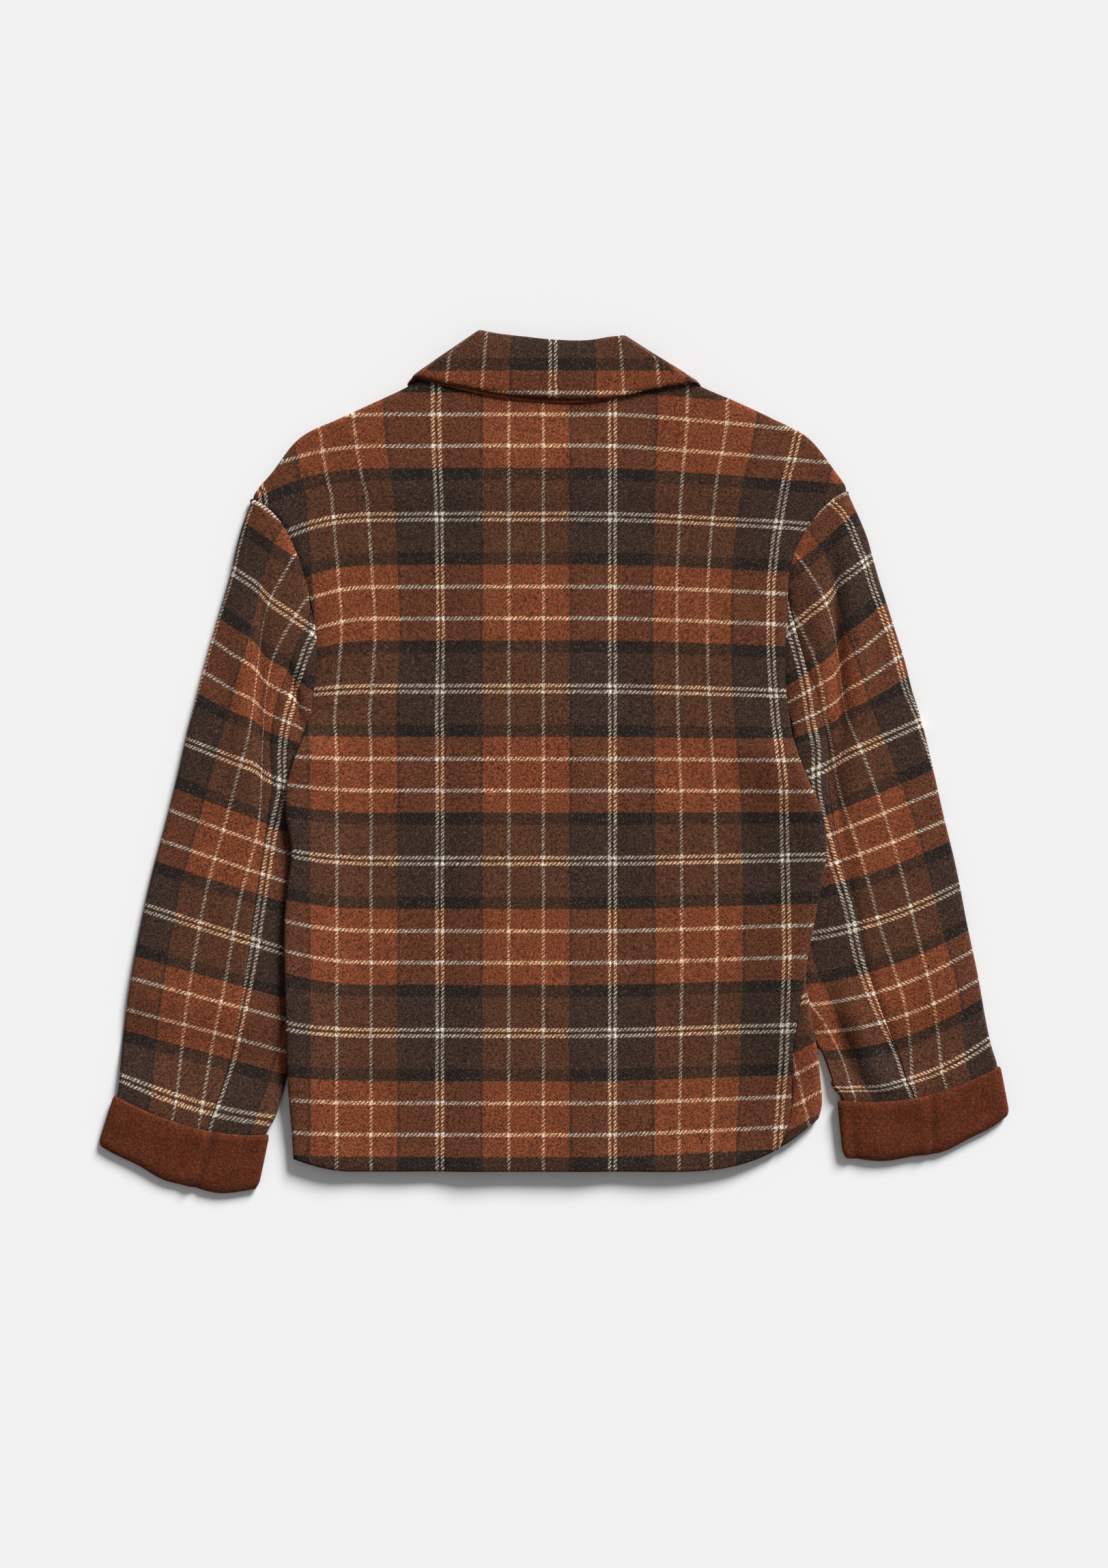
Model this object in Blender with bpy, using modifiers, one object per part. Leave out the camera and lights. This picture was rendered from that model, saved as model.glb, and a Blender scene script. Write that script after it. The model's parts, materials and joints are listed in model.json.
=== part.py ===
"""Boxy wool jacket with drop shoulders, laid flat on a surface with its back side up.

Every piece is a cloth wall. A piece is a grid of points on the cloth's inner face, worked out from
short tables of sections, and thickened outwards. Tables and sizes are in millimetres; x runs from
the wearer's left to right, y from hem to collar, and z up from the surface the jacket lies on.
"""

import math
from collections import namedtuple

import bmesh
import bpy

MM = 0.001

# Cloth and seams
CLOTH = 2.4
UNDER_COLLAR_CLOTH = 1.8
CLEAR = 2.8
SEAM = 0.4
ARMHOLE_INSET = 0.35
LAYER_GAP = 0.4
WELD = 0.005

# Folded edges: how deep they round off in plan, and the angles of their facets
FOLD = 3.0
FOLD_ANGLES = (0, 30, 60, 90)
EDGE_STEPS = [FOLD * (1 - math.cos(math.radians(angle))) for angle in FOLD_ANGLES]

# Body: columns across, how far the rows bend at their ends, how the sides ride over the sleeves
BACK_COLUMNS = 10
FRONT_COLUMNS = 6
WRAP_STEPS = (1.0, 0.6, 0.25)
WRAP_TURN = 12.0
WRAP_TURN_GAP = 1.6
LEFT_BEND = 0.12
RIGHT_BEND = 0.28
LIFT_REACH = 70.0

# Overlap of the fronts at the centre, and the front neckline
OVERLAP = 20.0
OVERLAP_GAP = 0.6
OVERLAP_LIFT = CLOTH + OVERLAP_GAP
OVERLAP_START = -110.0
OVERLAP_RAMP = 40.0
NECK_Y = 334.0
NECK_HALF_WIDTH = 116.0
NECK_DEPTH = 62.0

# The fronts rise over the collar's leaves
LEAF_LIFT = CLOTH + LAYER_GAP
LEAF_START_Y = 205.0
LEAF_RAMP = 40.0
LEAF_HALF_WIDTH = 150.0
LEAF_SIDE_RAMP = 55.0

# Sleeves: columns on each side of their seams
TOP_SLEEVE_COLUMNS = 6
UNDER_SLEEVE_COLUMNS = 3

# Cuffs
CUFF_ROOM = CLOTH + LAYER_GAP
CUFF_COLUMNS = 8
CUFF_FOLD = FOLD + CUFF_ROOM
CUFF_MIDDLE = CUFF_ROOM + CLOTH + CLEAR / 2
SLEEVE_IN_CUFF = -0.06
SLEEVE_END_GAP = 1.5

# Collar heights, from its leaves on the surface to the fall on top of the back
BACK_TOP = LEAF_LIFT + 2 * CLOTH + CLEAR
UNDER_COLLAR_BASE = BACK_TOP + LAYER_GAP
FALL_BASE = UNDER_COLLAR_BASE + UNDER_COLLAR_CLOTH + LAYER_GAP
ROLL_BASE = BACK_TOP + LAYER_GAP
ROLL_DEPTH = 7.0
ROLL_STEPS = (0.0, 1.0, 3.5, 7.0)
FALL_ROWS = 3
COLLAR_FOLD = 6.0
COLLAR_FOLD_ANGLES = (-90, -45, 0, 45, 90)
STAND_NECK_SCALE = 0.84
STAND_CLEAR = 3.0
UNDER_COLLAR_ENDS = 9.0

# Colours of the two faces of the cloth
CHECK_COLOUR = (0.10, 0.045, 0.025, 1.0)
PLAIN_COLOUR = (0.11, 0.032, 0.011, 1.0)
CLOTH_ROUGHNESS = 0.92

# Rows of the body from hem to neck: the ends of the row, its height in the middle, whether its ends
# are folded (1) or sewn to a sleeve (0), the cloth's inset there, how far each side rides up over its
# sleeve, and how far the right front wraps up onto the top.
BodyRow = namedtuple("BodyRow", "left_x left_y middle_y right_x right_y fold inset lift_left lift_right wrap")
BODY_ROWS = [
    BodyRow(-234, -352, -366, 239, -320, 1, 2.4, 0.0, 0.0, 33),
    BodyRow(-235, -332, -344, 242, -303, 1, 2.4, 0.0, 0.0, 28),
    BodyRow(-237, -308, -316, 240, -283, 1, 2.4, 1.0, 0.0, 24),
    BodyRow(-239, -278, -283, 235, -253, 1, 2.4, 7.0, 7.0, 20),
    BodyRow(-240, -235, -238, 229, -216, 1, 2.4, 9.2, 9.2, 8),
    BodyRow(-241, -192, -192, 226, -186, 1, 2.4, 9.2, 9.2, 3),
    BodyRow(-241, -141, -143, 234, -140, 1, 2.4, 9.2, 9.2, 0),
    BodyRow(-238, -106, -106, 241, -102, 1, 2.4, 9.2, 9.2, 0),
    BodyRow(-235, -79, -76, 244, -76, 1, 2.4, 9.2, 9.2, 0),
    BodyRow(-240, -47, -44, 240, -45, 1, 2.4, 9.2, 9.2, 0),
    BodyRow(-239, -21, -16, 229, -20, 1, 2.4, 9.2, 9.2, 0),
    BodyRow(-232, 3, 6, 219, 6, 1, 2.4, 6.0, 6.0, 0),
    BodyRow(-224, 24, 28, 213, 28, 1, 2.4, 0.0, 0.0, 0),
    BodyRow(-217, 45, 46, 209, 53, 0, 1.8, 0.0, 0.0, 0),
    BodyRow(-215, 67, 67, 207, 77, 0, 0.6, 0.0, 0.0, 0),
    BodyRow(-212, 99, 98, 207, 105, 0, 0.35, 0.0, 0.0, 0),
    BodyRow(-214, 122, 122, 209, 129, 0, 0.35, 0.0, 0.0, 0),
    BodyRow(-220, 153, 153, 210, 159, 0, 0.35, 0.0, 0.0, 0),
    BodyRow(-229, 183, 183, 215, 186, 0, 0.35, 0.0, 0.0, 0),
    BodyRow(-243, 212, 212, 231, 214, 0, 1.4, 0.0, 0.0, 0),
    BodyRow(-256, 226, 226, 246, 231, 0, 4.4, 0.0, 0.0, 0),
    BodyRow(-270, 235, 240, 262, 242, 1, 2.4, 0.0, 0.0, 0),
    BodyRow(-253, 258, 260, 253, 258, 1, 2.4, 0.0, 0.0, 0),
    BodyRow(-229, 288, 287, 229, 288, 1, 2.4, 0.0, 0.0, 0),
    BodyRow(-196, 305, 302, 199, 305, 1, 2.4, 0.0, 0.0, 0),
    BodyRow(-166, 319, 316, 169, 319, 1, 2.4, 0.0, 0.0, 0),
    BodyRow(-137, 330, 327, 139, 330, 1, 2.4, 0.0, 0.0, 0),
    BodyRow(-116, 336, 334, 117, 336, 1, 2.4, 0.0, 0.0, 0),
]
ARMHOLE_TOP_ROW = 20

# Rows of each sleeve's cap from shoulder to armpit, one for each body row there: the outer fold, and
# the place of the elbow seam as a share of the row, where 1 is the armhole.
CapRow = namedtuple("CapRow", "outer_x outer_y seam")
LEFT_CAP = [
    CapRow(-272, 230, 1.0),
    CapRow(-278, 214, 1.0),
    CapRow(-284, 192, 1.0),
    CapRow(-288, 173, 1.0),
    CapRow(-294, 152, 0.92),
    CapRow(-299, 135, 0.80),
    CapRow(-308, 104, 0.73),
    CapRow(-315, 78, 0.69),
    CapRow(-321, 49, 0.71),
]
RIGHT_CAP = [
    CapRow(265, 236, 1.0),
    CapRow(271, 217, 1.0),
    CapRow(279, 200, 1.0),
    CapRow(284, 180, 1.0),
    CapRow(290, 161, 0.94),
    CapRow(297, 144, 0.865),
    CapRow(306, 114, 0.80),
    CapRow(314, 90, 0.755),
    CapRow(321, 64, 0.745),
]

# Rows of each sleeve below the armpit: outer fold, inner fold, elbow seam, sag of the row, and lift.
ArmRow = namedtuple("ArmRow", "outer_x outer_y inner_x inner_y seam bow lift")
LEFT_ARM = [
    ArmRow(-326, 30, -233, 2, 0.775, 0, 0.0),
    ArmRow(-336, -8, -234, -27, 0.82, 0, 0.0),
    ArmRow(-347, -52, -233, -74, 0.77, 0, 0.0),
    ArmRow(-359, -103, -232, -131, 0.73, 0, 0.0),
    ArmRow(-370, -156, -232, -186, 0.70, 0, 0.0),
    ArmRow(-379, -204, -233, -235, 0.67, 0, 0.0),
    ArmRow(-384, -247, -238, -277, 0.65, 0, 0.0),
    ArmRow(-387, -280, -247, -313, 0.62, 5, 2.8),
]
RIGHT_ARM = [
    ArmRow(326, 40, 220, 5, 0.77, 0, 0.0),
    ArmRow(336, 2, 224, -30, 0.81, 0, 0.0),
    ArmRow(346, -45, 227, -76, 0.79, 0, 0.0),
    ArmRow(358, -95, 222, -131, 0.67, 6, 0.0),
    ArmRow(368, -144, 220, -180, 0.62, 8, 0.0),
    ArmRow(377, -189, 221, -222, 0.57, 10, 0.0),
    ArmRow(384, -228, 238, -262, 0.55, 12, 0.0),
    ArmRow(389, -253, 248, -289, 0.55, 13, 2.8),
]

# Upper edge and bottom fold of each turned-up cuff.
CuffRow = namedtuple("CuffRow", "outer_x outer_y inner_x inner_y seam bow")
LEFT_CUFF = [
    CuffRow(-394, -298, -254, -334, 0.60, 10),
    CuffRow(-407, -343, -265, -382, 0.60, 15),
]
RIGHT_CUFF = [
    CuffRow(398, -275, 253, -303, 0.48, 12),
    CuffRow(406, -316, 259, -352, 0.48, 14),
]

# The largest folds of the sleeves: soft ridges of the upper layer from one point to another.
Ridge = namedtuple("Ridge", "from_x from_y to_x to_y half_width height")
RIDGES = [
    Ridge(-274, 150, -292, -10, 26, 3.2),
    Ridge(-316, -70, -330, -190, 28, 1.8),
    Ridge(266, 178, 286, -8, 26, 3.2),
    Ridge(306, -60, 332, -190, 28, 2.0),
]

# Stations of the collar: its roll line and outer edge. The leaves lie underneath, from their front
# end back to the neck; the sides are where the collar folds round; the rest lies on top.
Station = namedtuple("Station", "roll_x roll_y edge_x edge_y")
LEFT_LEAF = [
    Station(-7, 281, -65, 250),
    Station(-37, 319, -105, 281),
    Station(-55, 362, -122, 314),
]
LEFT_SIDE = Station(-68, 384, -134, 335)
COLLAR_TOP = [
    Station(-49, 381, -92, 336),
    Station(-24, 378, -47, 328),
    Station(1, 376, 1, 323),
    Station(28, 377, 47, 324),
    Station(49, 380, 92, 332),
]
RIGHT_SIDE = Station(67, 381, 137, 335)
RIGHT_LEAF = [
    Station(55, 359, 124, 314),
    Station(37, 317, 105, 281),
    Station(7, 281, 65, 250),
]

# How far the under collar peeps out below the fall at each station on top.
PEEP = (2.5, 4.0, 2.0, -2.0, -3.0)


def smooth(value):
    """Ease from 0 to 1."""
    share = min(1.0, max(0.0, value))
    return share * share * (3 - 2 * share)


def rounding(distance, depth):
    """Height of a quarter ellipse that starts at an edge and is full at the given depth."""
    rest = 1 - min(1.0, max(0.0, distance / depth))
    return math.sqrt(1 - rest * rest)


def mix(start, end, share):
    return start + (end - start) * share


def steps(start, end, count):
    """Evenly spaced values from start to end, both included."""
    return [mix(start, end, index / count) for index in range(count + 1)]


def cloth_material(name, colour):
    material = bpy.data.materials.new(name)
    material.use_nodes = True
    shader = material.node_tree.nodes["Principled BSDF"]
    shader.inputs["Base Color"].default_value = colour
    shader.inputs["Roughness"].default_value = CLOTH_ROUGHNESS
    shader.inputs["Metallic"].default_value = 0.0
    return material


def cloth_piece(name, table, colour, thickness=CLOTH, slit=None):
    """A wall of cloth through a table of points, row by row, thickened on its outer side.

    slit(column, row) says which faces are left out.
    """
    rows = len(table) - 1
    columns = len(table[0]) - 1
    mesh = bpy.data.meshes.new(name)
    shape = bmesh.new()
    bmesh.ops.create_grid(shape, x_segments=columns, y_segments=rows, size=0.5)
    places = {}
    for vertex in shape.verts:
        places[vertex] = (round((vertex.co.x + 0.5) * columns), round((vertex.co.y + 0.5) * rows))
    cut_faces = []
    for face in shape.faces:
        column = min(places[vertex][0] for vertex in face.verts)
        row = min(places[vertex][1] for vertex in face.verts)
        if slit and slit(column, row):
            cut_faces.append(face)
    for vertex, (column, row) in places.items():
        vertex.co = [value * MM for value in table[row][column]]
    bmesh.ops.delete(shape, geom=cut_faces, context="FACES_ONLY")
    bmesh.ops.remove_doubles(shape, verts=shape.verts, dist=WELD * MM)
    loose_edges = [edge for edge in shape.edges if not edge.link_faces]
    bmesh.ops.delete(shape, geom=loose_edges, context="EDGES")
    loose_points = [vertex for vertex in shape.verts if not vertex.link_faces]
    bmesh.ops.delete(shape, geom=loose_points, context="VERTS")
    shape.to_mesh(mesh)
    shape.free()
    mesh.shade_smooth()
    mesh.materials.append(cloth_material(name + "_cloth", colour))
    piece = bpy.data.objects.new(name, mesh)
    jacket.objects.link(piece)
    wall = piece.modifiers.new("wall", "SOLIDIFY")
    wall.thickness = thickness * MM
    wall.offset = 1.0
    wall.use_even_offset = True
    return piece


# The body


def body_ends(row):
    """Inner face at both ends of a body row."""
    return row.left_x + row.inset, row.right_x - row.inset


def body_y(row, x):
    """The row bends to its ends' own heights."""
    across = (x - row.left_x) / (row.right_x - row.left_x)
    left_pull = max(0.0, 1 - across / LEFT_BEND) ** 2
    right_pull = max(0.0, 1 - (1 - across) / RIGHT_BEND) ** 2
    left_rise = (row.left_y - row.middle_y) * left_pull
    right_rise = (row.right_y - row.middle_y) * right_pull
    return row.middle_y + left_rise + right_rise


def body_rest(row, x, y):
    """Height of the underside: it rides over the sleeves at the sides and over the collar's leaves."""
    left, right = body_ends(row)
    side_lift = row.lift_left * (1 - smooth((x - left) / LIFT_REACH))
    side_lift += row.lift_right * (1 - smooth((right - x) / LIFT_REACH))
    over_leaf = smooth((y - LEAF_START_Y) / LEAF_RAMP)
    beside_leaf = 1 - smooth((abs(x) - LEAF_HALF_WIDTH) / LEAF_SIDE_RAMP)
    return side_lift + LEAF_LIFT * over_leaf * beside_leaf


def body_opening(row, x):
    """Share of the inside height that is open at x."""
    left, right = body_ends(row)
    round_off = rounding(min(x - left, right - x), FOLD)
    return 1 - row.fold * (1 - round_off)


def upper_point(row, x):
    """Inner face of the layer on top."""
    y = body_y(row, x)
    over_fronts = smooth((x - OVERLAP_START) / OVERLAP_RAMP) * (1 - smooth((x - OVERLAP) / OVERLAP_RAMP))
    over_fronts *= 1 - smooth((y - (NECK_Y - NECK_DEPTH)) / OVERLAP_RAMP)
    height = body_rest(row, x, y) + CLOTH + CLEAR / 2 * (1 + body_opening(row, x))
    return x, y, height + OVERLAP_LIFT * over_fronts


def lower_point(row, x, lift=0.0):
    """Inner face of the layer underneath."""
    y = body_y(row, x)
    height = body_rest(row, x, y) + CLOTH + CLEAR / 2 * (1 - body_opening(row, x))
    return x, y, height + lift


def make_back():
    table = []
    for row in BODY_ROWS:
        left, right = body_ends(row)
        back_end = right - row.wrap
        if row.wrap:
            back_end -= SEAM + WRAP_TURN_GAP * max(0.0, 1 - row.wrap / WRAP_TURN)
        places = [left + step for step in EDGE_STEPS]
        places += steps(left + FOLD, back_end - FOLD, BACK_COLUMNS)[1:-1]
        places += [back_end - step for step in reversed(EDGE_STEPS)]
        table.append([upper_point(row, x) for x in places])
    cloth_piece("back", table, CHECK_COLOUR)


def neckline(y):
    """Half width of the front neck opening at a height, or None below it."""
    depth = (NECK_Y - y) / NECK_DEPTH
    if depth >= 1:
        return None
    return NECK_HALF_WIDTH * math.sqrt(1 - max(0.0, depth) ** 2)


def front_edge(row):
    """Where a front ends, measured from the centre line: past it, or at the neckline."""
    half_width = neckline(row.middle_y)
    if half_width is None:
        return -OVERLAP
    return min(half_width, row.right_x - 2 * FOLD)


def make_fronts():
    left_table = []
    right_table = []
    for row in BODY_ROWS:
        left, right = body_ends(row)
        centre = front_edge(row)
        places = steps(-centre, left + FOLD, FRONT_COLUMNS)
        places += [left + step for step in reversed(EDGE_STEPS)][1:]
        places[-1] += SEAM / 2
        line = []
        for x in places:
            line.append(lower_point(row, x, OVERLAP_LIFT * smooth((x - OVERLAP_START) / OVERLAP_RAMP)))
        left_table.append(line)
        wrapped = [upper_point(row, right - row.wrap * share) for share in WRAP_STEPS]
        under = [right - step for step in EDGE_STEPS]
        under += steps(right - FOLD, centre, FRONT_COLUMNS)[1:]
        if not row.wrap:
            under[0] -= SEAM / 2
            wrapped = [lower_point(row, under[0])] * len(WRAP_STEPS)
        right_table.append(wrapped + [lower_point(row, x) for x in under])
    cloth_piece("front_left", left_table, CHECK_COLOUR)
    cloth_piece("front_right", right_table, CHECK_COLOUR)


# The sleeves and cuffs

SleeveRow = namedtuple("SleeveRow", "outer inner seam bow lift fold")


def cuff_ends(cuff, share, inset):
    """Both ends of a line across the cuff, moved in by the inset, with its bow."""
    top, bottom = cuff
    outer = [mix(top.outer_x, bottom.outer_x, share), mix(top.outer_y, bottom.outer_y, share)]
    inner = [mix(top.inner_x, bottom.inner_x, share), mix(top.inner_y, bottom.inner_y, share)]
    width = math.dist(outer, inner)
    outer_in = [mix(outer[axis], inner[axis], inset / width) for axis in (0, 1)]
    inner_in = [mix(inner[axis], outer[axis], inset / width) for axis in (0, 1)]
    return outer_in, inner_in, mix(top.bow, bottom.bow, share)


def cuff_depth(cuff):
    top, bottom = cuff
    return math.dist((top.outer_x, top.outer_y), (bottom.outer_x, bottom.outer_y))


def cuff_fold_share(cuff):
    """Where the inner face of the cuff's bottom fold lies, as a share of its depth."""
    return 1 - CLOTH / cuff_depth(cuff)


def sleeve_rows(cap, arm, cuff, side):
    """All rows of a sleeve, from the shoulder to its end inside the cuff."""
    rows = []
    for index, line in enumerate(cap):
        body = BODY_ROWS[ARMHOLE_TOP_ROW - index]
        inner = (body.left_x, body.left_y) if side == "left" else (body.right_x, body.right_y)
        rows.append(SleeveRow((line.outer_x, line.outer_y), inner, line.seam, 0, 0.0, body.fold))
    for line in arm:
        outer = (line.outer_x, line.outer_y)
        inner = (line.inner_x, line.inner_y)
        rows.append(SleeveRow(outer, inner, line.seam, line.bow, line.lift, 1))
    end_share = cuff_fold_share(cuff) - SLEEVE_END_GAP / cuff_depth(cuff)
    for share in (SLEEVE_IN_CUFF, end_share):
        outer, inner, bow = cuff_ends(cuff, share, CUFF_ROOM)
        rows.append(SleeveRow(outer, inner, cuff[0].seam, bow, CUFF_ROOM, 1))
    return rows


def sleeve_length(row):
    """Inside length of a row, from the outer fold to the inner end."""
    inset = mix(ARMHOLE_INSET, CLOTH + ARMHOLE_INSET, row.fold)
    return math.dist(row.outer, row.inner) - CLOTH - inset


def across_point(outer, inner, distance, bow):
    """Plan point at a distance from the outer end of a line, sagging towards the cuff."""
    width = math.dist(outer, inner)
    along = [(inner[axis] - outer[axis]) / width for axis in (0, 1)]
    down = (along[1], -along[0]) if along[0] > 0 else (-along[1], along[0])
    share = distance / width
    sag = bow * 4 * share * (1 - share)
    return [outer[axis] + along[axis] * distance + down[axis] * sag for axis in (0, 1)]


def ridge_height(x, y):
    """Height that the folds add to the upper layer of the sleeves."""
    height = 0.0
    for ridge in RIDGES:
        run_x = ridge.to_x - ridge.from_x
        run_y = ridge.to_y - ridge.from_y
        length = math.hypot(run_x, run_y)
        along = ((x - ridge.from_x) * run_x + (y - ridge.from_y) * run_y) / length
        beside = ((x - ridge.from_x) * run_y - (y - ridge.from_y) * run_x) / length
        past_end = max(0.0, -along, along - length)
        height += ridge.height * (1 - smooth(math.hypot(beside, past_end) / ridge.half_width))
    return height


def sleeve_point(row, place, layer):
    """Inner face of a sleeve at a place along its row; layer is 1 on top and -1 underneath."""
    length = sleeve_length(row)
    open_inner = 1 - row.fold * (1 - rounding(length - place, FOLD))
    opening = rounding(place, FOLD) * open_inner
    x, y = across_point(row.outer, row.inner, CLOTH + place, row.bow)
    ridge = ridge_height(x, y) * opening if layer > 0 else 0.0
    return x, y, row.lift + CLOTH + CLEAR / 2 * (1 + layer * opening) + ridge


def seam_place(row):
    """Where the elbow seam lies along the row."""
    return min(row.seam * math.dist(row.outer, row.inner) - CLOTH, sleeve_length(row))


def make_top_sleeve(name, rows, mirrored):
    table = []
    for row in rows:
        end = seam_place(row)
        if row.seam < 1:
            end -= SEAM / 2
        across = steps(end, FOLD, TOP_SLEEVE_COLUMNS) + [step for step in reversed(EDGE_STEPS)][1:]
        line = [sleeve_point(row, place, 1) for place in across]
        line += [sleeve_point(row, place, -1) for place in reversed(across)][1:]
        table.append(line[::-1] if mirrored else line)
    cloth_piece(name, table, CHECK_COLOUR)


def make_under_sleeve(name, rows, mirrored):
    first = max(index for index, row in enumerate(rows) if row.seam == 1.0)
    sewn_rows = len([row for row in rows[first:] if not row.fold])
    table = []
    for row in rows[first:]:
        length = sleeve_length(row)
        start = min(seam_place(row) + SEAM / 2, length)
        near_end = max(start, length - FOLD)
        across = steps(start, near_end, UNDER_SLEEVE_COLUMNS)
        across += [max(start, length - step) for step in reversed(EDGE_STEPS)][1:]
        line = [sleeve_point(row, place, 1) for place in across]
        line += [sleeve_point(row, place, -1) for place in reversed(across)]
        table.append(line if mirrored else line[::-1])
    middle = len(table[0]) // 2 - 1

    def slit(column, row):
        return column == middle and row < sewn_rows

    cloth_piece(name, table, CHECK_COLOUR, slit=slit)


def cuff_point(cuff, share, place_share, layer, lip):
    """Inner face of the cuff; the lip is the turn at its bottom, down to the sleeve's inside."""
    inset = CLOTH + (CUFF_ROOM if lip else 0)
    outer, inner, bow = cuff_ends(cuff, share, inset)
    width = math.dist(outer, inner)
    half_height = CLEAR / 2 + (0 if lip else CUFF_ROOM)
    depth = FOLD if lip else CUFF_FOLD
    place = place_share * width
    opening = rounding(place, depth) * rounding(width - place, depth)
    x, y = across_point(outer, inner, place, bow)
    return x, y, CUFF_MIDDLE + layer * half_height * opening


def make_cuff(name, cuff, mirrored):
    width = math.dist((cuff[0].outer_x, cuff[0].outer_y), (cuff[0].inner_x, cuff[0].inner_y))
    edge = [step * CUFF_FOLD / FOLD / width for step in EDGE_STEPS]
    across = edge + steps(edge[-1], 1 - edge[-1], CUFF_COLUMNS)[1:-1]
    across += [1 - step for step in reversed(edge)]
    fold_share = cuff_fold_share(cuff)
    table = []
    for share, lip in ((0.0, False), (fold_share / 2, False), (fold_share, False), (fold_share, True)):
        line = [cuff_point(cuff, share, place, 1, lip) for place in reversed(across)]
        line += [cuff_point(cuff, share, place, -1, lip) for place in across][1:]
        table.append(line[::-1] if mirrored else line)
    cloth_piece(name, table, PLAIN_COLOUR)


# The collar


def moved(station, shift_x):
    return Station(station.roll_x + shift_x, station.roll_y, station.edge_x + shift_x, station.edge_y)


def collar_stations():
    """Stations round the whole collar, each with its height from leaf (0) to fall (1)."""
    stations = [(station, 0.0) for station in LEFT_LEAF]
    for angle in COLLAR_FOLD_ANGLES:
        inset = CLOTH + COLLAR_FOLD * (1 - math.cos(math.radians(angle)))
        stations.append((moved(LEFT_SIDE, inset), (1 + math.sin(math.radians(angle))) / 2))
    stations += [(station, 1.0) for station in COLLAR_TOP]
    for angle in reversed(COLLAR_FOLD_ANGLES):
        inset = CLOTH + COLLAR_FOLD * (1 - math.cos(math.radians(angle)))
        stations.append((moved(RIGHT_SIDE, -inset), (1 + math.sin(math.radians(angle))) / 2))
    stations += [(station, 0.0) for station in RIGHT_LEAF]
    return stations


def station_point(station, distance):
    """Plan point at a distance from the roll line, whose cloth is inside its outline."""
    roll = (station.roll_x, station.roll_y - CLOTH)
    edge = (station.edge_x, station.edge_y)
    share = distance / math.dist(roll, edge)
    return [mix(roll[axis], edge[axis], share) for axis in (0, 1)]


def station_depth(station):
    return math.dist((station.roll_x, station.roll_y - CLOTH), (station.edge_x, station.edge_y))


def make_collar():
    columns = []
    for station, height in collar_stations():
        depth = station_depth(station)
        distances = list(ROLL_STEPS) + steps(ROLL_DEPTH, depth, FALL_ROWS)[1:]
        column = []
        for distance in reversed(distances):
            x, y = station_point(station, distance)
            top = mix(ROLL_BASE, FALL_BASE, rounding(distance, ROLL_DEPTH))
            column.append((x, y, mix(CLOTH, top, height)))
        columns.append(column)
    cloth_piece("collar", [list(row) for row in zip(*columns)], CHECK_COLOUR)


def make_under_collar():
    columns = []
    for station, peep in zip(COLLAR_TOP, PEEP):
        column = []
        for distance in steps(station_depth(station) + peep, UNDER_COLLAR_ENDS, FALL_ROWS):
            x, y = station_point(station, distance)
            column.append((x, y, UNDER_COLLAR_BASE))
        columns.append(column)
    cloth_piece("under_collar", [list(row) for row in zip(*columns)], PLAIN_COLOUR, UNDER_COLLAR_CLOTH)


def make_collar_stand():
    columns = []
    for station in COLLAR_TOP:
        roll_x, roll_y = station_point(station, STAND_CLEAR)
        neck_x = station.edge_x * STAND_NECK_SCALE
        column = []
        for share in steps(0.0, 1.0, FALL_ROWS):
            x = mix(neck_x, roll_x, share)
            y = mix(NECK_Y + CLOTH + SEAM, roll_y, share)
            column.append((x, y, BACK_TOP - CLOTH))
        columns.append(column)
    cloth_piece("collar_stand", [list(row) for row in zip(*columns)], PLAIN_COLOUR)


for old_object in list(bpy.data.objects):
    bpy.data.objects.remove(old_object)

jacket = bpy.data.collections.new("outdoor_jacket")
bpy.context.scene.collection.children.link(jacket)

make_back()
make_fronts()
for side, cap, arm, cuff in (
    ("left", LEFT_CAP, LEFT_ARM, LEFT_CUFF),
    ("right", RIGHT_CAP, RIGHT_ARM, RIGHT_CUFF),
):
    sleeve = sleeve_rows(cap, arm, cuff, side)
    make_top_sleeve("top_sleeve_" + side, sleeve, side == "right")
    make_under_sleeve("under_sleeve_" + side, sleeve, side == "right")
    make_cuff("cuff_" + side, cuff, side == "right")
make_collar()
make_under_collar()
make_collar_stand()
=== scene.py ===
"""How the checked wool jacket looks: thin cloth shells on the part's forms, light and camera.

Tables and sizes are in millimetres; x runs from the wearer's left to right, y from hem to collar, and z up
from the surface the jacket lies on.
"""

import json
import math
from collections import namedtuple
from types import SimpleNamespace

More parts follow.
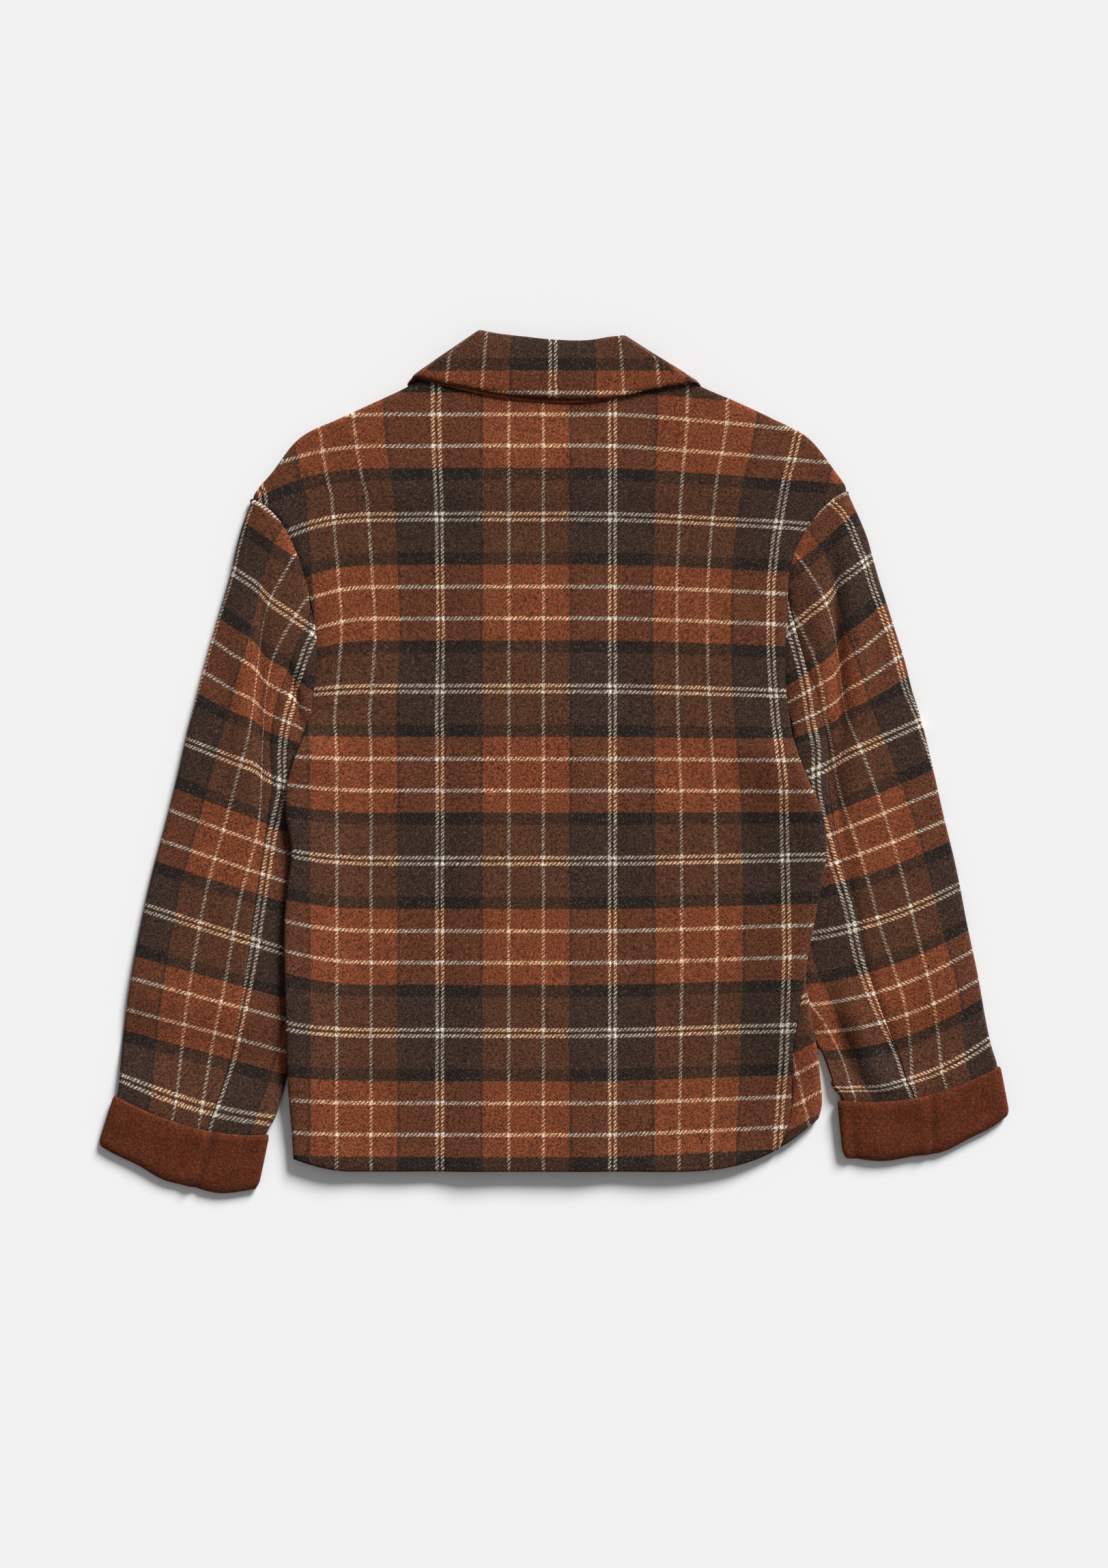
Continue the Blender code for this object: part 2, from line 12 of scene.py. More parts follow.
import bpy
import numpy as np
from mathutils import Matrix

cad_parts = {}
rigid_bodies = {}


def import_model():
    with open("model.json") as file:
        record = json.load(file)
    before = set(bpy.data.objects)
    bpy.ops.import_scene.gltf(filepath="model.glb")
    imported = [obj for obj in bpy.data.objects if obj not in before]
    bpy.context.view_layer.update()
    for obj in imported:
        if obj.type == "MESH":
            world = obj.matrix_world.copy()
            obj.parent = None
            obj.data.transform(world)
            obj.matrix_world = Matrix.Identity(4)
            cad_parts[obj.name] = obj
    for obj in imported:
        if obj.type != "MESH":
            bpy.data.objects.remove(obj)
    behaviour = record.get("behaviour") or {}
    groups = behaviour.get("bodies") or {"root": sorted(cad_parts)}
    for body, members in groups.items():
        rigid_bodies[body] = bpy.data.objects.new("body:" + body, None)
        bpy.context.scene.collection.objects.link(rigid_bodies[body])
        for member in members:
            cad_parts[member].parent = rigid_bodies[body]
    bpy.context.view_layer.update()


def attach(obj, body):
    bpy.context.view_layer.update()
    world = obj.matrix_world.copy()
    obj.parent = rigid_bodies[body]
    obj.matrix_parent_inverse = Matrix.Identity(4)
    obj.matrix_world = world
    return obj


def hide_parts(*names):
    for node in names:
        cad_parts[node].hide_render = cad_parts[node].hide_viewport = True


MM = 0.001

# Cloth and seams
CLOTH = 2.4
CLEAR = 2.8
SEAM_INSET = 0.25
SEAM_DIP = 1.3
SEAM_REACH = 3.2
ROUND = 6
EDGE_ROUND = 5
EDGE_THIN = 0.3
RIM_INSET = 0.22
TINY = 1e-9
EDGE = np.array([0, 0.3, 0.9, 1.9, 3.3, 5, 7])
STEP = 3.4
UNDER_STEP = 7

# Body: the bend of its rows, how it rides over the sleeves, the front lap and the collar's leaves
LEFT_BEND = 0.12
RIGHT_BEND = 0.3
RIGHT_BEND_POWER = 3
RELIEF_RAMP = 40
SLIVER = 0.3
WRAP_LEAST = 0.5
LIFT_REACH = 70
LAP = 20
LAP_LIFT = 3
LAP_START = -110
LAP_RAMP = 40
NECK_Y = 334
NECK_HALF_WIDTH = 116
NECK_DEPTH = 62
LEAF_LIFT = 2.8
LEAF_START_Y = 205
LEAF_RAMP = 40
LEAF_HALF_WIDTH = 150
LEAF_SIDE_RAMP = 55

# Body rows from hem to neck: ends folded (1) or sewn (0), lifts over the sleeves, wrap of the right front.
BODY_COLUMNS = "left_x left_y middle_y right_x right_y fold lift_left lift_right wrap"
BodyRow = namedtuple("BodyRow", BODY_COLUMNS, defaults=(0, 0, 0))
BODY_ROWS = [
    BodyRow(-234, -354, -366, 237, -317, 1, 2, 0, 33),
    BodyRow(-235, -332, -344, 240.5, -303, 1, 3, 0, 28),
    BodyRow(-237, -308, -316, 239, -283, 1, 4.5, 1, 24),
    BodyRow(-239, -278, -283, 235, -253, 1, 7, 7, 20),
    BodyRow(-240, -235, -238, 228, -216, 1, 9.2, 9.2, 7),
    BodyRow(-241, -192, -192, 225.5, -186, 1, 9.2, 9.2),
    BodyRow(-241, -141, -143, 233.5, -140, 1, 9.2, 9.2),
    BodyRow(-238, -106, -106, 241, -102, 1, 9.2, 9.2),
    BodyRow(-235, -79, -76, 244, -76, 1, 9.2, 9.2),
    BodyRow(-240, -47, -44, 240, -45, 1, 9.2, 9.2),
    BodyRow(-239, -21, -16, 229, -20, 1, 9.2, 9.2),
    BodyRow(-232, 3, 6, 219, 6, 1, 9, 8),
    BodyRow(-224, 24, 28, 213, 28, 1, 3, 2),
    BodyRow(-217, 45, 46, 209, 53, 0),
    BodyRow(-215, 67, 67, 207, 77, 0),
    BodyRow(-212, 99, 98, 207, 105, 0),
    BodyRow(-214, 122, 122, 209, 129, 0),
    BodyRow(-220, 153, 153, 210, 159, 0),
    BodyRow(-229, 183, 183, 215, 186, 0),
    BodyRow(-243, 212, 212, 231, 214, 0),
    BodyRow(-256, 226, 226, 246, 231, 0),
    BodyRow(-270, 235, 240, 262, 242, 1),
    BodyRow(-253, 258, 260, 253, 258, 1),
    BodyRow(-229, 288, 287, 229, 288, 1),
    BodyRow(-194.5, 305, 302, 197.5, 305, 1),
    BodyRow(-163.5, 319, 316, 167, 319, 1),
    BodyRow(-136, 332.5, 327, 138, 331.5, 1),
    BodyRow(-116, 346, 334, 117, 343, 1),
]
ARMHOLE_TOP = 21
ARMPIT = 9

# Sleeve caps from shoulder to armpit, a row for each body row there, with the check counted in repeats.
CapRow = namedtuple("CapRow", "outer_x outer_y seam across down_outer down_inner")
LEFT_CAP = [
    CapRow(-272, 234, 1, 0.03, -0.4, -0.43),
    CapRow(-272, 230, 1, 0.03, -0.37, -0.42),
    CapRow(-278, 214, 1, 0.03, -0.27, -0.4),
    CapRow(-284, 192, 1, 0.035, -0.13, -0.29),
    CapRow(-288, 173, 1, 0.035, -0.01, -0.165),
    CapRow(-294, 152, 0.92, 0.04, 0.125, -0.03),
    CapRow(-299, 135, 0.8, 0.045, 0.24, 0.09),
    CapRow(-308, 104, 0.73, 0.05, 0.44, 0.27),
    CapRow(-315, 78, 0.69, 0.05, 0.61, 0.42),
    CapRow(-322.5, 49, 0.71, 0.055, 0.8, 0.64),
]
RIGHT_CAP = [
    CapRow(263.5, 240, 1, -0.11, -0.39, -0.42),
    CapRow(265, 236, 1, -0.098, -0.36, -0.41),
    CapRow(273.5, 217, 1, -0.058, -0.23, -0.4),
    CapRow(280.5, 200, 1, -0.05, -0.115, -0.33),
    CapRow(286, 180, 1, -0.03, 0.02, -0.2),
    CapRow(291.5, 161, 0.94, -0.029, 0.155, -0.06),
    CapRow(297, 144, 0.865, -0.022, 0.27, 0.06),
    CapRow(306.5, 114, 0.8, -0.01, 0.47, 0.21),
    CapRow(314, 90, 0.755, -0.012, 0.63, 0.41),
    CapRow(320.5, 64, 0.745, -0.004, 0.8, 0.64),
]

# Rows of each sleeve below the armpit: both folds, elbow seam, sag, lift, and the check in repeats.
ArmRow = namedtuple("ArmRow", "outer_x outer_y inner_x inner_y seam bow lift across down_outer down_inner")
LEFT_ARM = [
    ArmRow(-327.5, 30, -228.5, 2, 0.745, 0, 0, 0.06, 0.92, 0.85),
    ArmRow(-336, -8, -234, -27, 0.82, 0, 0, 0.07, 1.18, 1.03),
    ArmRow(-347, -52, -233, -74, 0.77, 0, 0, 0.075, 1.47, 1.345),
    ArmRow(-360.5, -103, -232, -131, 0.73, 0, 0, 0.08, 1.82, 1.74),
    ArmRow(-372, -156, -232, -186, 0.7, 0, 0, 0.07, 2.17, 2.09),
    ArmRow(-380.5, -204, -233, -235, 0.67, 0, 0, 0.065, 2.48, 2.43),
    ArmRow(-386, -247, -238, -277, 0.65, 0, 0, 0.065, 2.77, 2.7),
    ArmRow(-388.5, -280, -247, -313, 0.62, 5, 2.8, 0.065, 2.99, 2.955),
]
RIGHT_ARM = [
    ArmRow(328, 40, 213.5, 5, 0.73, 0, 0, 0.018, 0.97, 0.87),
    ArmRow(337.5, 2, 224, -30, 0.81, 0, 0, 0.05, 1.22, 1.1),
    ArmRow(348, -45, 227, -76, 0.79, 0, 0, 0.083, 1.54, 1.43),
    ArmRow(360, -95, 222, -131, 0.67, 6, 0, 0.098, 1.89, 1.835),
    ArmRow(369.5, -144, 220, -180, 0.62, 8, 0, 0.115, 2.24, 2.145),
    ArmRow(379, -189, 221, -222, 0.57, 10, 0, 0.128, 2.555, 2.44),
    ArmRow(386, -228, 238, -262, 0.55, 12, 0, 0.122, 2.85, 2.75),
    ArmRow(391, -253, 248, -289, 0.55, 13, 2.8, 0.1, 3.03, 2.965),
]

# How far inside the elbow seam the under sleeve's double line lies, for every sleeve row.
LEFT_LINE = (9, 9, 9, 9, 9, 9, 10, 11, 12, 12, 11, 9, 7, 6, 5, 3, 1, 0)
RIGHT_LINE = (5, 5, 5, 5, 5, 5, 5, 6, 9, 11, 11, 11, 8, 8, 7, 4, 1, 0)

# Each cuff's upper edge and bottom fold, how far they sag and to which end, and its seams as shares, with how
# much shade is painted into each seam's groove and highlight onto its ridge.
CuffRow = namedtuple("CuffRow", "outer_x outer_y inner_x inner_y bow skew height")
LEFT_CUFF = [
    CuffRow(-394, -298, -254, -334, 10, 0.2, 0.6),
    CuffRow(-409, -345, -264, -384.5, 14, 0.9, 0.15),
]
RIGHT_CUFF = [
    CuffRow(399.5, -272, 253, -303, 12, 0, 0.6),
    CuffRow(408.5, -318, 258, -357, 15.5, 0, 0.27),
]
CuffSeam = namedtuple("CuffSeam", "top_share bottom_share side rise dip tint")
LEFT_SEAMS = [CuffSeam(0.67, 0.635, 1, 0.6, 0.6, 0.34)]
RIGHT_SEAMS = [
    CuffSeam(0.44, 0.49, -1, 0.35, 0.35, 0.2),
    CuffSeam(0.94, 0.945, -1, 0.3, 0.35, 0.2),
]
CUFF_ROOM = 2.8
CUFF_FOLD = 8
CUFF_TURN = 8
CUFF_LIP = 0.15
CUFF_CORNER = 2.5
CUFF_THIN = 0.55
CUFF_WOBBLE = 1.3
CUFF_WOBBLE_TURNS = 2.6
CUFF_WOBBLE_START = 0.15
CUFF_SEAM_REACH = 6
CUFF_DIP_REACH = 4
CUFF_STEP = 1.5
CUFF_FLAT_ROWS = 18
CUFF_TURN_ROWS = 10
# Share of painted highlight on a seam's ridge, against the painted shade in its groove
RIDGE_PAINTED_HIGHLIGHT = 0.55
Swell = namedtuple("Swell", "across down start height")
CUFF_SWELLS = [Swell(2.3, 0.7, 0, 0.8), Swell(5.1, -0.4, 0.3, 0.4), Swell(0.8, 1.6, 0.55, 0.5)]

# How a sleeve flattens and ends inside its cuff, with starts and ramps counted in rows, and its seams
SLEEVE_IN_CUFF = -0.06
SLEEVE_END = 0.3
SQUEEZED = 0.95
SQUEEZE_START = 15
END_CLOTH = 0.5
END_START = 18
END_RAMP = 0.35
FLAT_START = 16.5
FLAT_RAMP = 1.5
PUFF = 2.2
FOLD_INSET = 0.35
SEAM_SHOWS = 0.99
UNDER_SLEEVE_STARTS = 0.985

# Stations of the collar: its roll line, its outer edge, and its height from leaf (0) to fall (1).
Station = namedtuple("Station", "roll_x roll_y edge_x edge_y height")
COLLAR = [
    Station(-7, 281, -65, 250, 0),
    Station(-37, 319, -105, 281, 0),
    Station(-55, 362, -122, 314, 0),
    Station(-64, 385, -128, 334, 0),
    Station(-66.5, 384.5, -130, 335, 0.15),
    Station(-68, 384.5, -130.5, 336.5, 0.5),
    Station(-66.5, 385, -127.5, 339.5, 0.85),
    Station(-64, 385.6, -121.5, 343, 1),
    Station(-49, 382.8, -92, 336.7, 1),
    Station(-24, 380, -47, 328.7, 1),
    Station(1, 377.5, 1, 324.2, 1),
    Station(28, 377, 47, 324.3, 1),
    Station(49, 380, 92, 333, 1),
    Station(58.6, 380.8, 124, 338, 1),
    Station(61.5, 381, 129, 336, 0.85),
    Station(63.2, 381, 131, 334.5, 0.5),
    Station(61.5, 381, 130, 333.5, 0.15),
    Station(58.6, 381, 127, 333, 0),
    Station(55, 359, 124, 314, 0),
    Station(37, 317, 105, 281, 0),
    Station(7, 281, 65, 250, 0),
]
FALL_FIRST = 7
FALL_LAST = 13
COLLAR_MIDDLE = 10
COLLAR_STEP = 2.2
COLLAR_TURN = 20
LAYER_GAP = 0.1
BACK_TOP = LEAF_LIFT + 2 * CLOTH + CLEAR
UNDER_COLLAR_BASE = BACK_TOP + LAYER_GAP
UNDER_COLLAR_CLOTH = 1.2
FALL_BASE = UNDER_COLLAR_BASE + UNDER_COLLAR_CLOTH + LAYER_GAP
ROLL_BASE = BACK_TOP + LAYER_GAP
ROLL_DEPTH = 9
COLLAR_SWELL = 0.9
PEEP = (2, 3, 4.2, 4.2, 1.5, -2, -3)
UNDER_COLLAR_TOP = 9
UNDER_COLLAR_STEP = 3
UNDER_COLLAR_COLUMNS = 90
STAND_NECK_SCALE = 0.84
STAND_TOP = 3
STAND_GAP = 0.4
STAND_COLUMNS = 60
STAND_ROWS = 12

# The check's repeat, where it lies on the back and on the collar, and how much of it a fold's edge hides.
REPEAT_ACROSS = 154
REPEAT_DOWN = 153.7
BACK_LINE_X = -101.9
BACK_LINE_Y = 219
COLLAR_LINE_X = -0.9
COLLAR_LINE_Y = 391.3
COLLAR_REPEAT_DOWN = 152.8
COLLAR_FAN_ROLL = 0.965
COLLAR_FAN_EDGE = 1.03
LEAF_LINE_DOWN = 0.05
FOLD_HIDES = 5.4
FOLD_HIDES_REACH = 5

STRIP_LINE_X = 217.2
STRIP_LINE_Y = -278
STRIP_LEAN = 0.23
STRIP_SLOPE = 0.58
STRIP_LINE_ACROSS = 0.4
STRIP_LINE_DOWN = 3.41
STRIP_REACH = 150
STRIP_RISE = 90
STRIP_FOLD_X = 232
STRIP_WRAP_RAMP = 12
STRIP_COLUMNS = 14

# How far the back's upright lines lean sideways near its left and right sides, by height.
Pull = namedtuple("Pull", "y left right")
LEANS = [
    Pull(-344, 0, -6.7),
    Pull(-320, 0, -4.9),
    Pull(-265, 0, -1.2),
    Pull(-173, 0, 1.8),
    Pull(-112, 0, 1.2),
    Pull(-21, 0, -1.2),
    Pull(10, 0, -4.9),
    Pull(40, -1.8, -8.5),
    Pull(80, 1.8, -11.6),
    Pull(107, 4.3, -12.8),
    Pull(131, 4.3, -12.6),
    Pull(162, 1.8, -12.2),
    Pull(199, -1.2, -7.9),
    Pull(238, -4.3, -1.2),
    Pull(254, -8.5, 1.8),
    Pull(278, -12.8, 8.5),
    Pull(305, -16, 14),
]
Span = namedtuple("Span", "full start")
LEAN_LEFT = Span(-194, -68)
LEAN_RIGHT = Span(207, 54)

# How far the back's level lines droop near its left and right sides, by height.
DROOPS = [
    Pull(-332, -1.2, -7.3),
    Pull(-305, -1.8, -6.1),
    Pull(-241, -3, -4.9),
    Pull(-180, -5.5, -4.9),
    Pull(-149, -4.3, -4.9),
    Pull(-88, -3.7, -3),
    Pull(-27, -3, 0.6),
    Pull(0, -1.2, 1.2),
    Pull(64, 3, 4.3),
    Pull(125, 10.4, 5.5),
    Pull(153, 9.2, 6.1),
    Pull(217, 6.7, 7.3),
    Pull(278, 5.5, 11.6),
    Pull(305, 7.3, 12.8),
]
DROOP_LEFT = Span(-215, -154)
DROOP_LEFT_POWER = 2.4
DROOP_RIGHT = Span(206, 54)
DROOP_RIGHT_POWER = 1.25

# Creases: three points of the path, height (troughs are negative), cloth hidden and shift of the check.
Crease = namedtuple("Crease", "x1 y1 x2 y2 x3 y3 half_width height hides jog", defaults=(0, 0))
FADE_POWER = 1.2
HIDE_REACH = 13
JOG_REACH = 5
PATH_POINTS = 41
LEFT_CREASES = [
    Crease(-255, 212, -271, 68, -256, -96, 5.5, -2.6, 31, 8),
    Crease(-272, 180, -283, 70, -274, -60, 12, 3.4),
    Crease(-241, 100, -230, 58, -224, 14, 5.5, -4, 0, 5),
    Crease(-312, -200, -330, -325, -352, -450, 9, -0.6, 7),
]
RIGHT_CREASES = [
    Crease(246, 215, 256, 108, 257, -40, 7, -4.6, 20, 8),
    Crease(264, 210, 272, 104, 273, -40, 12, 3.2),
    Crease(233, 190, 238, 100, 241, 0, 10, 2.4),
    Crease(232, 120, 246, -20, 276, -150, 7, -4),
    Crease(240, -185, 254, -259, 300, -345, 7, -2),
    Crease(256, -180, 274, -255, 322, -350, 12, 4.6),
    Crease(316, -140, 325, -222, 342, -330, 9, -0.6, 5),
]
LEFT_TUCKS = []
RIGHT_TUCKS = [Crease(240, -185, 254, -259, 300, -345, 7, 0, 15)]
BACK_CREASES = [
    Crease(-246, 60, -205, 10, -170, -60, 16, 1.6),
    Crease(228, 60, 196, 0, 176, -80, 16, 1.6),
    Crease(10, -366, 100, -364, 200, -350, 13, 2.6),
    Crease(-226, -352, -160, -366, -80, -368, 13, 1.8),
]

# What each sleeve is made from
Sleeve = namedtuple("Sleeve", "side cap arm cuff seams under_line creases tucks")
SLEEVES = [
    Sleeve("left", LEFT_CAP, LEFT_ARM, LEFT_CUFF, LEFT_SEAMS, LEFT_LINE, LEFT_CREASES, LEFT_TUCKS),
    Sleeve("right", RIGHT_CAP, RIGHT_ARM, RIGHT_CUFF, RIGHT_SEAMS, RIGHT_LINE, RIGHT_CREASES, RIGHT_TUCKS),
]

# Slow waves of the whole cloth: lengths along x and y, start and height.
Wave = namedtuple("Wave", "length_x length_y start height")
WAVES = [
    Wave(170, 260, 0.4, 0.3),
    Wave(-110, 190, 1.9, 0.25),
    Wave(75, -140, 3.1, 0.18),
    Wave(-60, -85, 4.4, 0.14),
]

# Felted fibres, counted per metre, their light flecks, and the wool's shine and relief, in metres
FINE_FIBRES = 950
FINE_SHARE = 0.6
COARSE_FIBRES = 480
COARSE_SHARE = 0.4
STRAY_FIBRES = 420
STRAY = 0.008
PATCHES = 120
SPECKLE_LOW = 0.2
SPECKLE_HIGH = 2.6
CHECK_SPECKLE = 6
PLAIN_SPECKLE = 4
FLECKS = 640
FLECK_EDGE = (0.56, 0.74)
FLECK_COLOUR = (0.2, 0.115, 0.075, 1)
FLECK_SHARE = 0.42
BUMP_STRENGTH = 0.6
CHECK_BUMP = 0.0003
PLAIN_BUMP = 0.0005
WOOL_SHADER = {
    "Roughness": 0.95,
    "Specular IOR Level": 0.15,
    "Sheen Weight": 0.04,
    "Sheen Roughness": 0.6,
}

# Stripes of the check, in repeats from the middle of a double line; the warp runs down and the weft across.
Stripe = namedtuple("Stripe", "centre half_width soft share")
WARP_DOUBLE = Stripe(0.0163, 0.0088, 0.0035, 1)
WARP_SINGLE = Stripe(0.4, 0.0086, 0.0035, 0.72)
WEFT_DOUBLE = Stripe(0.018, 0.0098, 0.0035, 1)
WEFT_SINGLE = Stripe(0.408, 0.0108, 0.0035, 1)
BLACK_WARP = Stripe(0.24, 0.009, 0.004, 0.45)
BLACK_WEFT = Stripe(0.244, 0.035, 0.003, 0.9)
RUST_WARP_EDGE = (0.247, 0.253)
RUST_WEFT_EDGE = (0.277, 0.283)
TWILL_RIBS = 43
TWILL_EDGE = (0.2, 0.8)
WARP_SHOWS = 0.88
WARP_SHOWS_OVER = -0.84
WEFT_SHOWS = 0.05
WEFT_SHOWS_OVER = 0.86
CROSSING_SHARE = 0.8
RIB_SHADE = 0.16
RIB_RELIEF = 0.25

# Colours in screen levels; in the check's, the first word is the warp's and the second the weft's
SCREEN_WHITE = 255
SCREEN_POWER = 2.2
LIT_LEVEL = 0.985
DARK_DARK = (57, 42, 35)
RUST_DARK = (82, 51, 35)
DARK_RUST = (93, 53, 34)
RUST_RUST = (119, 63, 38)
DARK_BLACK = (33, 27, 24)
RUST_BLACK = (58, 39, 28)
BLACK_ANY = (46, 37, 31)
LIGHT_DARK = (176, 164, 148)
LIGHT_RUST = (222, 172, 132)
DARK_LIGHT = (188, 176, 158)
RUST_LIGHT = (232, 186, 144)
LIGHT_LIGHT = (232, 220, 203)
RIB_COLOUR = (40, 29, 24)
PLAIN_DEEP = (76, 35, 16)
PLAIN_PALE = (99, 47, 22)

# Camera, light and floor, in metres and degrees
CAMERA_HEIGHT = 2.5
CAMERA_Y = -0.0198
VIEW_HEIGHT = 1.4006
LOOK_AT_HEIGHT = 0.008
SENSOR = 36
SUN_STRENGTH = 5.65
SUN_ELEVATION = 24.5
SUN_AZIMUTH = 29
SUN_SPREAD = 19
SKY_STRENGTH = 0.24
FLOOR_SHADER = {"Base Color": (0.9, 0.9, 0.9, 1), "Roughness": 1, "Specular IOR Level": 0}
FLOOR_SIZE = 60
FLOOR_DROP = 0.0003


def ease(value):
    share = np.clip(value, 0.0, 1.0)
    return share * share * (3 - 2 * share)


def rounding(distance, depth):
    """Height of a quarter ellipse that starts at an edge and is full at the given depth."""
    rest = 1 - np.clip(distance / depth, 0.0, 1.0)
    return np.sqrt(1 - rest * rest)


def bell(distance, reach):
    """1 at no distance, and fading out over the reach."""
    return np.exp(-((distance / reach) ** 2))


def mix(start, end, share):
    return start + (end - start) * share


def spline(values, places):
    """A smooth curve through the values, read at places counted in rows."""
    values = np.asarray(values, float)
    last = len(values) - 1
    place = np.clip(places, 0, last)
    start = np.minimum(place.astype(int), last - 1)
    share = place - start
    before = values[np.maximum(start - 1, 0)]
    first = values[start]
    second = values[start + 1]
    after = values[np.minimum(start + 2, last)]
    bend = (2 * before - 5 * first + 4 * second - after) * share**2
    turn = (3 * first - before - 3 * second + after) * share**3
    return 0.5 * (2 * first + (second - before) * share + bend + turn)


def column(table, name):
    return np.array([getattr(row, name) for row in table], float)


def smooth_rows(table, places):
    """All columns of a table at places between its rows."""
    found = {name: spline(column(table, name), places)[:, None] for name in table[0]._fields}
    return SimpleNamespace(**found)


def row_lengths(table, end):
    """Lengths between the rows of a table, along one of their ends."""
    return np.hypot(np.diff(column(table, end + "_x")), np.diff(column(table, end + "_y")))


def even_places(lengths, step):
    """Places counted in rows that are about a step apart, from the lengths between the rows."""
    ends = np.concatenate([[0.0], np.cumsum(lengths)])
    count = int(math.ceil(ends[-1] / step))
    return np.interp(np.linspace(0, ends[-1], count + 1), ends, np.arange(len(ends)))


def across(start, end, step, edge_start=True, edge_end=True):
    """Columns from start to end of every row, closer together at its edges."""
    start, end = np.broadcast_arrays(start, end)
    direction = np.sign(end - start)
    direction[direction == 0] = 1
    width = np.abs(end - start)
    reach = np.minimum(1.0, width / (4 * EDGE[-1]))
    first = EDGE if edge_start else EDGE[:1]
    last = EDGE if edge_end else EDGE[:1]
    count = max(2, int(math.ceil(width.max() / step)))
    shares = np.linspace(0, 1, count + 1)[1:-1]
    near = first[-1] * reach
    far = last[-1] * reach
    parts = [first * reach, near + (width - near - far) * shares, width - last[::-1] * reach]
    return start + direction * np.concatenate(parts, axis=1)


def beside_path(crease, x, y):
    """Signed distance from a crease's path, and its strength there, which fades out to its ends."""
    share = np.linspace(0, 1, PATH_POINTS)
    path_x = (1 - share) ** 2 * crease.x1 + 2 * share * (1 - share) * crease.x2 + share**2 * crease.x3
    path_y = (1 - share) ** 2 * crease.y1 + 2 * share * (1 - share) * crease.y2 + share**2 * crease.y3
    run_x = np.gradient(path_x)
    run_y = np.gradient(path_y)
    nearest = np.full(x.shape, np.inf)
    side = np.zeros(x.shape)
    place = np.zeros(x.shape)
    for index in range(len(share)):
        from_x = x - path_x[index]
        from_y = y - path_y[index]
        distance = np.hypot(from_x, from_y)
        closer = distance < nearest
        length = math.hypot(run_x[index], run_y[index])
        crossing = (from_x * run_y[index] - from_y * run_x[index]) / length
        further = (from_x * run_x[index] + from_y * run_y[index]) / length**2
        nearest = np.where(closer, distance, nearest)
        side = np.where(closer, crossing, side)
        place = np.where(closer, share[index] + further * share[1], place)
    return side, np.sin(math.pi * np.clip(place, 0, 1)) ** FADE_POWER


def relief(creases, x, y):
    """Height of the creases and of the slow waves of the cloth."""
    height = np.zeros(x.shape)
    for crease in creases:
        side, strength = beside_path(crease, x, y)
        height = height + crease.height * strength * bell(side, crease.half_width)
    for wave in WAVES:
        turns = x / wave.length_x + y / wave.length_y
        height = height + wave.height * np.sin(math.tau * turns + wave.start)
    return height


def put_in_scene(name, data):
    thing = bpy.data.objects.new(name, data)
    bpy.context.scene.collection.objects.link(thing)
    return thing


def shell(name, inner, weave, outside, inside, flip, thickness=CLOTH, soft=1.0):
    """A thin closed shell of cloth: its inner face, its outer face and the rim between them."""
    rows, columns = inner.shape[:2]
    normal = np.cross(np.gradient(inner, axis=1), np.gradient(inner, axis=0))
    if flip:
        normal = -normal
    length = np.linalg.norm(normal, axis=2, keepdims=True)
    normal = normal / np.maximum(length, TINY)
    rim = np.zeros((rows, columns, 1))
    rim[[0, -1], :] = 1
    rim[:, [0, -1]] = 1
    thickness = thickness * np.broadcast_to(soft, (rows, columns))[:, :, None]
    outer = inner + normal * thickness * (1 - RIM_INSET * rim)
    inner = inner + normal * thickness * RIM_INSET * rim
    points = np.concatenate([inner.reshape(-1, 3), outer.reshape(-1, 3)]) * MM
    index = np.arange(rows * columns).reshape(rows, columns)
    quads = np.stack([index[:-1, :-1], index[:-1, 1:], index[1:, 1:], index[1:, :-1]], axis=2).reshape(-1, 4)
    loop = np.concatenate([index[0, :-1], index[:-1, -1], index[-1, :0:-1], index[:0:-1, 0]])
    following = np.roll(loop, -1)
    shift = rows * columns
    rim_quads = np.stack([loop, following, following + shift, loop + shift], axis=1)
    if flip:
        quads = quads[:, ::-1]
        rim_quads = rim_quads[:, ::-1]
    faces = np.concatenate([quads[:, ::-1], quads + shift, rim_quads])
    mesh = bpy.data.meshes.new(name)
    mesh.from_pydata(points.tolist(), [], faces.tolist())
    mesh.materials.append(outside)
    mesh.materials.append(inside)
    slots = np.ones(len(faces), int)
    slots[len(quads) : 2 * len(quads)] = 0
    mesh.polygons.foreach_set("material_index", slots)
    layer = mesh.uv_layers.new(name="Weave")
    both = np.concatenate([weave.reshape(-1, 2), weave.reshape(-1, 2)])
    layer.uv.foreach_set("vector", both[faces.reshape(-1)].astype(np.float32).reshape(-1))
    mesh.shade_smooth()
    mesh.update()
    return put_in_scene(name, mesh)


# The body


def body_rows(step):
    middle = np.abs(np.diff(column(BODY_ROWS, "middle_y")))
    places = even_places(np.maximum(row_lengths(BODY_ROWS, "left"), middle), step)
    rows = smooth_rows(BODY_ROWS, places)
    rows.fold = np.clip(rows.fold, 0, 1)
    rows.wrap = np.maximum(rows.wrap, 0)
    rows.lift_left = np.maximum(rows.lift_left, 0)
    rows.lift_right = np.maximum(rows.lift_right, 0)
    inset = mix(SEAM_INSET, CLOTH, rows.fold)
    rows.left = rows.left_x + inset
    rows.right = rows.right_x - inset
    return rows


def body_y(rows, x):
    """Rows bend to their ends' own heights."""
    share = (x - rows.left_x) / (rows.right_x - rows.left_x)
    left_pull = np.clip(1 - share / LEFT_BEND, 0, None) ** 2
    right_pull = np.clip(1 - (1 - share) / RIGHT_BEND, 0, None) ** RIGHT_BEND_POWER
    left_rise = (rows.left_y - rows.middle_y) * left_pull
    return rows.middle_y + left_rise + (rows.right_y - rows.middle_y) * right_pull


